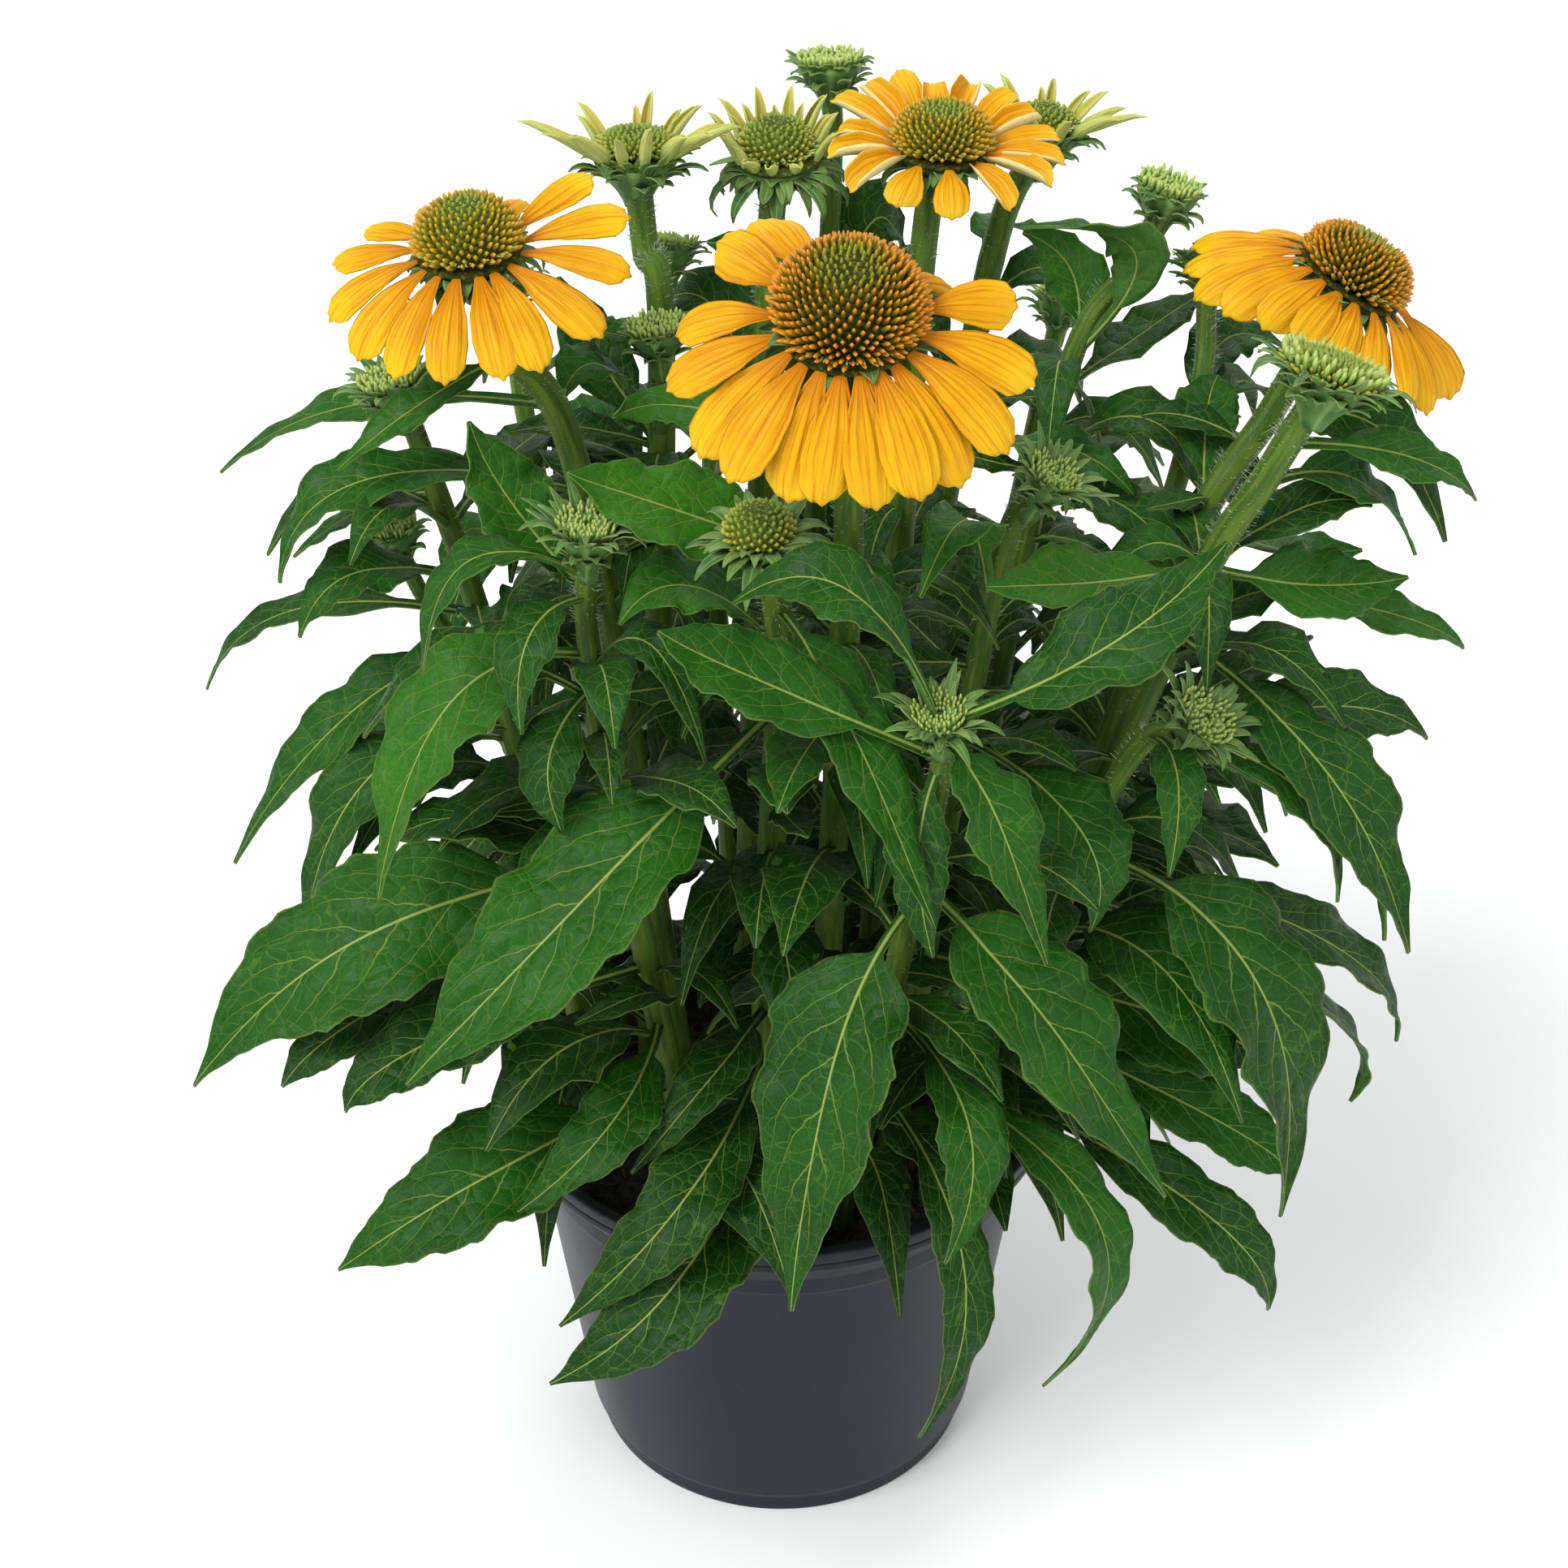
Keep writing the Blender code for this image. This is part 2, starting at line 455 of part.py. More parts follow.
def leaf_solid(base, via, tip, width, face, wave_start):
    """A leaf with real thickness, a three-cornered stalk and a pointed tip.

    The blade is a slab with a rib that stands out below. It narrows to three points where it
    grows from its stem, and to two, one over the other, at its tip.
    """
    length = np.linalg.norm(via - base) + np.linalg.norm(tip - via)
    stations = SMALL_LEAF_STATIONS if length < SMALL_LEAF else LEAF_STATIONS
    points, normal = leaf_sheet(base, via, tip, width, face, wave_start, stations, (-1, 0, 1))
    lift = normal[:, None] * BLADE_HALF
    lower = points - lift
    lower[:, 1] -= normal * RIB_DROP
    verts, faces = slab((points + lift)[1:], lower[1:])
    rows = len(stations) - 1
    under = rows * 3
    last = (rows - 1) * 3
    ends = [{0, 1, 2, under, under + 1, under + 2},
            {last, last + 1, last + 2, under + last, under + last + 1, under + last + 2}]
    faces = [f for f in faces if not any(set(f) <= end for end in ends)]
    left, right, rib = (len(verts) + k for k in range(3))
    end = len(verts) + 3
    root = [points[0, 0] + lift[0, 0], points[0, 2] + lift[0, 0], lower[0, 1]]
    point = [tip + normal[-1] * BLADE_HALF, tip - normal[-1] * BLADE_HALF]
    verts = np.vstack([verts, root, point])
    a, b, c = 0, 1, 2
    ua, ub, uc = under, under + 1, under + 2
    faces += [(left, b, a), (left, right, b), (right, c, b), (left, a, ua), (right, uc, c)]
    faces += [(left, ua, ub), (left, ub, rib), (rib, ub, right), (right, ub, uc), (left, rib, right)]
    a, b, c = last, last + 1, last + 2
    ua, ub, uc = under + a, under + b, under + c
    faces += [(a, b, end), (b, c, end), (ub, ua, end + 1), (uc, ub, end + 1)]
    faces += [(a, end, end + 1), (a, end + 1, ua), (c, uc, end + 1), (c, end + 1, end)]
    return verts, faces


def bends():
    """Every turn and lift a leaf may take, the smallest first."""
    pairs = [(turn, lift) for turn in BEND_TURNS for lift in BEND_LIFTS]
    return sorted(pairs, key=lambda p: (abs(p[0]) / 5 + abs(p[1]) / 6, p))


def bend_leaf(base, via, tip, turn, lift):
    """Turn a leaf about the upright line through its base and lift its tip."""
    c, s = math.cos(math.radians(turn)), math.sin(math.radians(turn))
    spin = np.array([[c, -s, 0], [s, c, 0], [0, 0, 1]])
    via = base + spin @ (via - base) + (0, 0, lift * 0.5)
    tip = base + spin @ (tip - base) + (0, 0, lift)
    return via, tip


def ray_sheet(seat, axis, across, front, root, ray, t, u):
    """Middle surface of a ray, t from its root to its tip and u from edge to edge.

    The ray leaves the ring on its bearing and at its start angle, and its angle falls off by the
    droop towards the tip. Its edges hang a little under its middle. Returns points and normals.
    """
    bearing, length, width, start, droop = ray
    az = math.radians(bearing)
    out = math.sin(az) * across + math.cos(az) * front
    side = np.cross(out, axis)
    fine = np.linspace(0, 1, 49)
    angle = np.radians(start - droop * fine**RAY_DROOP_POWER)
    step = length / (len(fine) - 1)
    reach = np.concatenate([[0], np.cumsum(np.cos(angle[:-1]) * step)])
    rise = np.concatenate([[0], np.cumsum(np.sin(angle[:-1]) * step)])
    r = np.interp(t, fine, reach)[:, None]
    z = np.interp(t, fine, rise)[:, None]
    tilt = np.interp(t, fine, angle)[:, None]
    normal = axis * np.cos(tilt) - out * np.sin(tilt)
    half = width / 2 * np.interp(t, RAY_SHAPE[0], RAY_SHAPE[1])
    hang = -RAY_ARCH * half[:, None] * np.abs(u)**2
    mid = seat + out * (root + r) + axis * z
    points = mid[:, None] + side * (half[:, None] * u)[..., None] + normal[:, None] * hang[..., None]
    return points, normal


def corolla(seat, axis, across, front, root, height, rays, stations):
    """The ring that a head's rays grow from, and the rays, in one closed mesh.

    The ring's wall has one face for each ray. That face is left out, and the ray's four edges
    start from its corners, so the ray and the ring are one body.
    """
    rays = sorted(rays)
    count = len(rays)
    bearings = np.array([ray[0] for ray in rays], float)
    after = np.roll(bearings, -1) - bearings
    after[-1] += 360
    spare = 0.42 * np.minimum(after, np.roll(after, 1))
    verts, faces = [seat + axis * height, seat], []
    ring = []
    for k, ray in enumerate(rays):
        wanted = math.degrees(RAY_SHAPE[1][0] * ray[2] / 2 / root)
        half = min(wanted, spare[k])
        corner = []
        for bearing in (ray[0] - half, ray[0] + half):
            az = math.radians(bearing)
            out = math.sin(az) * across + math.cos(az) * front
            corner += [len(verts), len(verts) + 1]
            verts += [seat + out * root + axis * height, seat + out * root]
        ring.append(corner)
    for k in range(count):
        a, ua, b, ub = ring[k]
        c, uc = ring[(k + 1) % count][:2]
        faces += [(0, a, b), (1, ub, ua), (0, b, c), (1, uc, ub), (b, ub, uc), (b, uc, c)]
        points, normal = ray_sheet(seat + axis * height / 2, axis, across, front, root, rays[k],
                                   np.array(stations), np.array((-1.0, 1.0)))
        if np.dot(points[1, 0] - points[1, 1], verts[a] - verts[b]) < 0:
            points = points[:, ::-1]
        last = (a, ua, b, ub)
        for row, up in zip(points[1:], normal[1:]):
            start = len(verts)
            verts += [row[0] + up * BLADE_HALF, row[0] - up * BLADE_HALF,
                      row[1] + up * BLADE_HALF, row[1] - up * BLADE_HALF]
            a, ua, b, ub = last
            c, uc, d, ud = last = tuple(range(start, start + 4))
            faces += [(a, c, d), (a, d, b), (ua, ud, uc), (ua, ub, ud)]
            faces += [(a, ua, uc), (a, uc, c), (b, ud, ub), (b, d, ud)]
        a, ua, b, ub = last
        faces += [(a, ua, ub), (a, ub, b)]
    return np.array(verts), faces


def ringed(seat, axis, across, front, rings, foot):
    """A closed solid on rings of (radius, height) given for every point round the axis.

    It is closed below by a fan from the axis at the height of the foot, and above by a flat fan.
    """
    sides = len(rings[0][0])
    angles = 2 * np.pi * np.arange(sides) / sides
    flat = np.cos(angles)[:, None] * across + np.sin(angles)[:, None] * front
    verts = [seat + flat * np.asarray(r)[:, None] + axis * np.asarray(h)[:, None] for r, h in rings]
    faces = []
    for i in range(len(rings) - 1):
        for j in range(sides):
            k = (j + 1) % sides
            a, b = i * sides + j, i * sides + k
            c, d = a + sides, b + sides
            if (i + j) % 2:
                faces += [(a, b, d), (a, d, c)]
            else:
                faces += [(a, b, c), (b, d, c)]
    low, high = len(rings) * sides, len(rings) * sides + 1
    top = (len(rings) - 1) * sides
    ends = [seat + axis * foot, seat + axis * np.mean(rings[-1][1])]
    for j in range(sides):
        k = (j + 1) % sides
        faces += [(k, j, low), (top + j, top + k, high)]
    return np.vstack([*verts, ends]), faces


def level(radius, height, sides):
    return np.full(sides, float(radius)), np.full(sides, float(height))


def cone_solid(seat, axis, across, front, radius, height, rings, sides, spike):
    """A dome covered with spines: every other point stands out along the dome's normal.

    Raised and low points alternate both along a ring and from ring to ring, and each square
    between them is cut along its low corners, so every raised point is a spine of its own.
    """
    shape = [level(radius * CONE_SEAT, 0.0, sides)]
    shoulder = height * CONE_SHOULDER
    for i in range(rings):
        rise = math.radians(CONE_LOWEST + 90 * i / rings)
        out = spike * ((np.arange(sides) + i) % 2)
        reach = (radius - spike + out) * math.cos(rise)
        lift = shoulder + (height - shoulder - spike) * math.sin(rise)
        shape.append((reach, lift + out * max(math.sin(rise), 0.0)))
    return ringed(seat, axis, across, front, shape, 0.0)


def bract_ring(radius, height, reach, rise, bracts, draw):
    """A ring whose odd points are drawn out to the tips of bracts."""
    sides = 2 * bracts
    out, lift = level(radius, height, sides)
    for k in range(1, sides, 2):
        long = reach * draw.uniform(0.8, 1.15)
        angle = rise + draw.uniform(-0.3, 0.3)
        out[k] += long * math.cos(angle)
        lift[k] += long * math.sin(angle)
    return out, lift


def outward(verts, faces):
    """Turn all faces over if the solid is inside out."""
    v = np.asarray(verts)
    f = np.array(faces)
    volume = np.einsum("ij,ij->i", v[f[:, 0]], np.cross(v[f[:, 1]], v[f[:, 2]])).sum()
    return verts, (faces if volume > 0 else [tuple(reversed(face)) for face in faces])


def tree(solids):
    """One search tree over the triangles of several solids."""
    verts, faces, start = [], [], 0
    for v, f in solids:
        verts.append(np.asarray(v))
        faces += [tuple(start + int(k) for k in face) for face in f]
        start += len(v)
    return BVHTree.FromPolygons(np.vstack(verts).tolist(), faces, all_triangles=True)


def fatter(solid, margin):
    """The same solid with its points moved out along their normals."""
    verts, faces = solid
    v = np.asarray(verts)
    f = np.array(faces)
    face_normal = np.cross(v[f[:, 1]] - v[f[:, 0]], v[f[:, 2]] - v[f[:, 0]])
    normal = np.zeros_like(v)
    for corner in range(3):
        np.add.at(normal, f[:, corner], face_normal)
    length = np.linalg.norm(normal, axis=1, keepdims=True)
    return v + margin * normal / np.maximum(length, 1e-9), faces


def stalk_object(stem):
    """The stalk of a stem. Its end lies a little below the seat, inside the base of its head."""
    path = stem_path(stem, STALK_STEPS)
    top = HEAD_STALK_RADIUS if stem in HEADS else BUD_STALK_RADIUS
    lean = HEADS[stem]["lean"] if stem in HEADS else None
    seat, axis, _, _ = head_axes(stem, lean)
    path[-1] = seat - axis * STALK_END
    return tube_object("stalk", path, np.linspace(STALK_ROOT_RADIUS, top, len(path)))


def tube_object(name, path, radii):
    """A round stalk: a curve with a bevel and filled caps, turned into one closed mesh."""
    curve = bpy.data.curves.new(name, "CURVE")
    curve.dimensions = "3D"
    curve.bevel_depth = MM
    curve.bevel_resolution = 1
    curve.use_fill_caps = True
    spline = curve.splines.new("POLY")
    spline.points.add(len(path) - 1)
    for point, place, radius in zip(spline.points, path, radii):
        point.co = (*(place * MM), 1.0)
        point.radius = radius
    holder = bpy.data.objects.new(name, curve)
    bpy.context.scene.collection.objects.link(holder)
    bpy.context.view_layer.update()
    mesh = bpy.data.meshes.new_from_object(holder.evaluated_get(bpy.context.evaluated_depsgraph_get()))
    bpy.data.objects.remove(holder, do_unlink=True)
    bpy.data.curves.remove(curve)
    shape = bmesh.new()
    shape.from_mesh(mesh)
    bmesh.ops.remove_doubles(shape, verts=shape.verts, dist=WELD)
    bmesh.ops.triangulate(shape, faces=shape.faces)
    bmesh.ops.recalc_face_normals(shape, faces=shape.faces)
    shape.to_mesh(mesh)
    shape.free()
    return bpy.data.objects.new(name, mesh)


def solid_of(thing):
    """Points in millimetres and triangles of an object's mesh."""
    verts = np.array([v.co for v in thing.data.vertices]) / MM
    return verts, [tuple(p.vertices) for p in thing.data.polygons]


def piece_object(name, solid):
    verts, faces = outward(*solid)
    return bpy.data.objects.new(name, mesh_from(name, verts, faces))


def grow_together(name, pieces, mat, group):
    """Join solids that grow from each other into one closed body with one Boolean union."""
    helpers = bpy.data.collections.new(name + "_pieces")
    bpy.context.scene.collection.children.link(helpers)
    for piece in pieces[1:]:
        helpers.objects.link(piece)
    body = bpy.data.objects.new(name, pieces[0].data)
    group.objects.link(body)
    union = body.modifiers.new("union", "BOOLEAN")
    union.operation = "UNION"
    union.operand_type = "COLLECTION"
    union.collection = helpers
    union.solver = "EXACT"
    bpy.context.view_layer.update()
    joined = bpy.data.meshes.new_from_object(body.evaluated_get(bpy.context.evaluated_depsgraph_get()))
    body.modifiers.clear()
    body.data = joined
    joined.name = name
    for piece in pieces:
        bpy.data.objects.remove(piece, do_unlink=True)
    bpy.data.collections.remove(helpers)
    tidy_body(joined)
    finish(body, mat)
    return body


def tidy_body(mesh):
    """Keep the largest body, and cut it into clean triangles."""
    shape = bmesh.new()
    shape.from_mesh(mesh)
    bmesh.ops.remove_doubles(shape, verts=shape.verts, dist=WELD)
    bmesh.ops.dissolve_degenerate(shape, edges=shape.edges, dist=WELD)
    bmesh.ops.triangulate(shape, faces=shape.faces)
    shape.verts.ensure_lookup_table()
    seen = set()
    bodies = []
    for first in shape.verts:
        if first in seen:
            continue
        body = {first}
        waiting = [first]
        while waiting:
            vert = waiting.pop()
            others = {edge.other_vert(vert) for edge in vert.link_edges} - body
            body |= others
            waiting += others
        seen |= body
        bodies.append(body)
    largest = max(bodies, key=len)
    loose = [vert for vert in shape.verts if vert not in largest]
    bmesh.ops.delete(shape, geom=loose, context="VERTS")
    shape.to_mesh(mesh)
    shape.free()


def finish(body, mat):
    body.data.materials.clear()
    body.data.materials.append(mat)
    body.data.shade_smooth()
    body.data.set_sharp_from_angle(angle=math.radians(35))


def add_pot(group, cutters, mat):
    """The pot: one turned shell with a rolled lip, a faint step, a foot band and drain holes."""
    lip = POT_HEIGHT - POT_LIP_HEIGHT
    outer = [
        (POT_RIM_RADIUS - POT_LIP_WIDTH + 0.8, POT_HEIGHT), (POT_RIM_RADIUS - 0.8, POT_HEIGHT),
        (POT_RIM_RADIUS, POT_HEIGHT - 1.2), (POT_RIM_RADIUS, lip),
        (POT_SHOULDER_RADIUS, lip - 0.6), (POT_SHOULDER_RADIUS - 0.4, POT_STEP_HEIGHT),
        (POT_SHOULDER_RADIUS - 1.0, POT_STEP_HEIGHT - 0.8),
        (POT_FOOT_RADIUS + POT_WALL + 0.8, POT_TOE_HEIGHT),
        (POT_FOOT_RADIUS + 0.6, POT_TOE_HEIGHT - 2.6), (POT_FOOT_RADIUS, 0.0),
    ]
    inner = [
        (POT_FOOT_RADIUS - POT_WALL, POT_WALL), (POT_FOOT_RADIUS + 0.8, POT_TOE_HEIGHT),
        (POT_SHOULDER_RADIUS - 0.4 - POT_WALL, POT_STEP_HEIGHT),
        (POT_RIM_RADIUS - POT_LIP_WIDTH, lip),
    ]
    profile = [*outer, (0.0, 0.0), (0.0, POT_WALL), *inner]
    mesh = bpy.data.meshes.new("pot")
    count = len(profile)
    edges = [(i, (i + 1) % count) for i in range(count)]
    foot = outer.index((POT_FOOT_RADIUS, 0.0)) + 1
    edges.remove((foot, foot + 1))
    mesh.from_pydata([(r * MM, 0.0, z * MM) for r, z in profile], edges, [])
    pot = bpy.data.objects.new("pot", mesh)
    group.objects.link(pot)
    turn = pot.modifiers.new("turn", "SCREW")
    turn.steps = turn.render_steps = POT_TURNS
    turn.use_merge_vertices = True
    turn.merge_threshold = 0.00001
    turn.use_smooth_shade = True
    for i in range(DRAIN_HOLES):
        angle = 2 * math.pi * (i + 0.5) / DRAIN_HOLES
        bpy.ops.mesh.primitive_cylinder_add(
            vertices=8, radius=DRAIN_RADIUS * MM, depth=3 * POT_WALL * MM,
            location=(DRAIN_CIRCLE * MM * math.cos(angle), DRAIN_CIRCLE * MM * math.sin(angle), 0))
        cut_with(pot, bpy.context.object, cutters, "drain_%d" % i)
    pot.data.materials.append(mat)
    return pot


def cut_with(body, cutter, cutters, name):
    """Keep a cutter in its own collection and take it away from a body."""
    cutter.name = name
    for holder in list(cutter.users_collection):
        holder.objects.unlink(cutter)
    cutters.objects.link(cutter)
    cutter.hide_render = True
    cutter.display_type = "WIRE"
    cut = body.modifiers.new(name, "BOOLEAN")
    cut.operation = "DIFFERENCE"
    cut.object = cutter


def soil_radius(z):
    """Radius of the soil at a height: the pot's inner wall, less the clearance."""
    low, high = POT_FOOT_RADIUS + 0.8, POT_SHOULDER_RADIUS - 0.4 - POT_WALL
    share = (z - POT_TOE_HEIGHT) / (POT_STEP_HEIGHT - POT_TOE_HEIGHT)
    return low + (high - low) * share - 2 * GAP


def add_soil(group, cutters, mat):
    """The soil: a plug that fills the pot, with a crumbly top and a plain hole for each stalk."""
    draw = random.Random(SOIL_SEED)
    shape = bmesh.new()
    rows = []
    widest = soil_radius(POT_STEP_HEIGHT)
    rings = [(widest * (i + 1) / SOIL_RINGS, SOIL_TOP) for i in range(SOIL_RINGS)]
    rings += [(soil_radius(POT_TOE_HEIGHT), POT_TOE_HEIGHT), (SOIL_FOOT_RADIUS, POT_WALL + GAP)]
    for r, z in rings:
        rough = SOIL_ROUGHNESS if r < widest and z == SOIL_TOP else 0.0
        row = []
        for k in range(SOIL_SPOKES):
            angle = 2 * math.pi * (k + 0.5) / SOIL_SPOKES
            high = z + draw.uniform(-1, 1) * rough
            row.append(shape.verts.new((r * math.cos(angle) * MM, r * math.sin(angle) * MM, high * MM)))
        rows.append(row)
    centre = shape.verts.new((0, 0, SOIL_TOP * MM))
    for k in range(SOIL_SPOKES):
        shape.faces.new((centre, rows[0][k], rows[0][(k + 1) % SOIL_SPOKES]))
    for upper, lower in zip(rows, rows[1:]):
        for k in range(SOIL_SPOKES):
            n = (k + 1) % SOIL_SPOKES
            shape.faces.new((upper[k], lower[k], lower[n], upper[n]))
    shape.faces.new(rows[-1][::-1])
    bmesh.ops.recalc_face_normals(shape, faces=shape.faces)
    mesh = bpy.data.meshes.new("soil")
    shape.to_mesh(mesh)
    shape.free()
    soil = bpy.data.objects.new("soil", mesh)
    group.objects.link(soil)
    depth = ROOT_DEPTH + GAP + HOLE_OVER
    for stem, (root, *_) in STEMS.items():
        bpy.ops.mesh.primitive_cylinder_add(
            vertices=HOLE_SIDES, radius=HOLE_RADIUS * MM, depth=depth * MM,
            location=(root[0] * MM, root[1] * MM, (SOIL_TOP + HOLE_OVER - depth / 2) * MM))
        cut_with(soil, bpy.context.object, cutters, "hole_" + stem)
    soil.data.materials.append(mat)
    return soil


def bud_solid(name, draw):
    """A green bud: a flared base, a ring of bracts and a crown of closed florets in relief."""
    radius, crown, bracts, reach = BUDS[name]
    sides = 2 * bracts
    tops, lift = level(radius * BUD_CROWN_SHARE, crown, sides)
    lift[::2] += BUD_CROWN_RELIEF
    share, height, rise = BUD_BRACTS
    rings = [
        level(radius * BUD_UNDER[0], BUD_UNDER[1], sides),
        bract_ring(radius * share, height, reach, rise, bracts, draw),
        level(radius, BUD_SHOULDER, sides),
        (tops, lift),
    ]
    return ringed(*head_axes(name), rings, BUD_FOOT)


def receptacle_solid(stem, draw):
    """The green base of an open head, with its drooping bracts, under the rays."""
    head = HEADS[stem]
    radius, sides = head["cone"][0] * BASE_SHARE, 2 * head["bracts"]
    slope = BRACT_DROOP if stem in RAYS else BRACT_SPREAD
    share, height = BASE_BRACTS
    rings = [
        level(radius * BASE_UNDER[0], BASE_UNDER[1], sides),
        bract_ring(radius * share, height, BASE_BRACT_REACH, slope, head["bracts"], draw),
        level(radius, -GAP, sides),
    ]
    return ringed(*head_axes(stem, head["lean"]), rings, BASE_FOOT)


def rays_solid(stem):
    head = HEADS[stem]
    stations, share = RAY_STATIONS, RING_SHARE
    if stem in QUILLED:
        stations, share = QUILL_STATIONS, QUILL_RING_SHARE
    place = head_axes(stem, head["lean"])
    return corolla(*place, head["cone"][0] * share, RING_HEIGHT, RAYS[stem], stations)


def head_cone(stem):
    head = HEADS[stem]
    seat, axis, across, front = head_axes(stem, head["lean"])
    radius, height = head["cone"]
    base = seat + axis * ((RING_HEIGHT + GAP) if stem in RAYS else 0.0)
    rings, sides, spike = LARGE_CONE if radius > LARGE_CONE_RADIUS else SMALL_CONE
    return cone_solid(base, axis, across, front, radius, height, rings, sides, spike)


def rear_leaf_table():
    """Leaves of the far side: crossing pairs up each stem, shorter and smaller to the top."""
    draw = random.Random(REAR_SEED)
    rows = []
    for stem, first, pairs, bearing in REAR_LEAVES:
        for pair in range(pairs):
            height = first + pair * REAR_KNOT_STEP
            base = stem_place(stem, height)
            for twin in range(2):
                turned = bearing + REAR_KNOT_TURN * pair + 180 * twin + draw.uniform(-15, 15)
                az = math.radians(turned)
                length = (REAR_LENGTHS[0] + REAR_LENGTHS[1] * pair) * draw.uniform(0.88, 1.1)
                out = np.array([math.cos(az), math.sin(az), 0.0])
                via = base + out * length * 0.5 + (0, 0, length * draw.uniform(0.12, 0.22))
                tip = base + out * length * 0.92 - (0, 0, length * draw.uniform(0.12, 0.42))
                width = (REAR_WIDTHS[0] + REAR_WIDTHS[1] * pair) * draw.uniform(0.9, 1.1)
                rows.append((stem, height, tuple(via), tuple(tip), width, 0))
    return rows


def outer_part(leaf, base):
    """The triangles of a leaf that lie away from where it grows."""
    verts, faces = leaf
    away = np.linalg.norm(np.asarray(verts) - base, axis=1) > ROOT_REACH
    return verts, [face for face in faces if all(away[k] for k in face)]


def clear_leaf(row, base, wave_start, around, own):
    """The first bend of a leaf that is clear of its neighbours, or nothing if none is."""
    _, _, via, tip, width, face = row
    via, tip = np.array(via, float), np.array(tip, float)
    for turn, lift in bends():
        moved = bend_leaf(base, via, tip, turn, lift)
        leaf = outward(*leaf_solid(base, *moved, width, face, wave_start))
        if around.overlap(tree([fatter(leaf, GAP)])):
            continue
        if not own.overlap(tree([outer_part(leaf, base)])):
            return leaf
    return None


def place_leaves(fixed):
    """Bend each leaf clear of every solid of another node, in the order of the table.

    fixed maps a node's name to the solids it holds before it has leaves. A leaf that finds no
    clear place is left out. Returns the leaves of each stem.
    """
    draw = random.Random(LEAF_SEED)
    placed = {stem: [] for stem in STEMS}
    outer = {stem: list(fixed[stem]) for stem in STEMS}
    for row in LEAVES + rear_leaf_table():
        stem = row[0]
        base = stem_place(stem, row[1])
        wave_start = draw.uniform(0, 2 * math.pi)
        others = [s for node, solids in fixed.items() if node != stem for s in solids]
        others += [s for other in STEMS if other != stem for s in placed[other]]
        leaf = clear_leaf(row, base, wave_start, tree(others), tree(outer[stem]))
        if leaf:
            placed[stem].append(leaf)
            outer[stem].append(outer_part(leaf, base))
    return placed


def solids_before_leaves(things):
    """Points and triangles of finished things, keyed by name, as their modifiers leave them."""
    graph = bpy.context.evaluated_depsgraph_get()
    solids = {}
    for thing in things:
        mesh = bpy.data.meshes.new_from_object(thing.evaluated_get(graph))
        shape = bmesh.new()
        shape.from_mesh(mesh)
        bmesh.ops.triangulate(shape, faces=shape.faces)
        verts = np.array([v.co for v in shape.verts]) / MM
        solids[thing.name] = [(verts, [tuple(v.index for v in f.verts) for f in shape.faces])]
        shape.free()
        bpy.data.meshes.remove(mesh)
    return solids


def stem_parts(draw):
    """For each stem: its stalk, its branches, and the green bases and buds on them, as objects."""
    stems = {}
    for stem in STEMS:
        parts = [stalk_object(stem)]
        for branch, (parent, _, _) in BRANCHES.items():
            if parent == stem:
                path = branch_path(branch, BRANCH_STEPS)
                parts.append(tube_object("branch", path, np.full(len(path), BRANCH_RADIUS)))
                parts.append(piece_object("bud", bud_solid(branch, draw)))
        if stem in BUDS:
            parts.append(piece_object("bud", bud_solid(stem, draw)))
        if stem in HEADS:
            parts.append(piece_object("base", receptacle_solid(stem, draw)))
        stems[stem] = parts
    return stems


def add_piece(name, solid, mat, group):
    thing = piece_object(name, solid)
    group.objects.link(thing)
    finish(thing, mat)


def main():
    clear_scene()
    plant = make_collection("coneflower_in_pot")
    cutters = make_collection("cutters")
    pot_plastic = make_material("pot_plastic", (0.045, 0.055, 0.065), 0.5)
    soil_dark = make_material("soil_dark", (0.02, 0.013, 0.01), 0.95)
    leaf_green = make_material("leaf_green", (0.05, 0.16, 0.03), 0.55)
    ray_yellow = make_material("ray_yellow", (0.95, 0.42, 0.03), 0.6)
    quill_green = make_material("quill_green", (0.55, 0.62, 0.14), 0.6)
    cone_orange = make_material("cone_orange", (0.45, 0.16, 0.02), 0.65)
    cone_green = make_material("cone_green", (0.25, 0.32, 0.06), 0.65)

    pot = add_pot(plant, cutters, pot_plastic)
    soil = add_soil(plant, cutters, soil_dark)
    bpy.context.view_layer.update()
    stems = stem_parts(random.Random(BRACT_SEED))
    rays = {stem: rays_solid(stem) for stem in RAYS}
    cones = {stem: head_cone(stem) for stem in HEADS}

    fixed = {stem: [solid_of(part) for part in parts] for stem, parts in stems.items()}
    fixed.update({"rays_" + stem: [solid] for stem, solid in rays.items()})
    fixed.update({"cone_" + stem: [solid] for stem, solid in cones.items()})
    fixed.update(solids_before_leaves((pot, soil)))
    leaves = place_leaves(fixed)

    for stem, parts in stems.items():
        parts += [piece_object("leaf", leaf) for leaf in leaves[stem]]
        grow_together("stem_" + stem, parts, leaf_green, plant)
    for stem, solid in rays.items():
        add_piece("rays_" + stem, solid, quill_green if stem in QUILLED else ray_yellow, plant)
    for stem, solid in cones.items():
        ripe = stem in RAYS and stem not in QUILLED
        add_piece("cone_" + stem, solid, cone_orange if ripe else cone_green, plant)


main()
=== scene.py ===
# %% [markdown]
# # A golden coneflower in its nursery pot
# The plant's solids come first, already at their real size. Each of them is plain: a few corners to
# a leaf, a dozen spines to a cone. What follows builds the living surface over every one of them and
# gives it its finish. The plant's and the pot's lengths are in millimetres until a mesh is made,
# and those of the camera, the lamps and the patterns of a finish are in metres.

# %% Load the solids
import math
import random

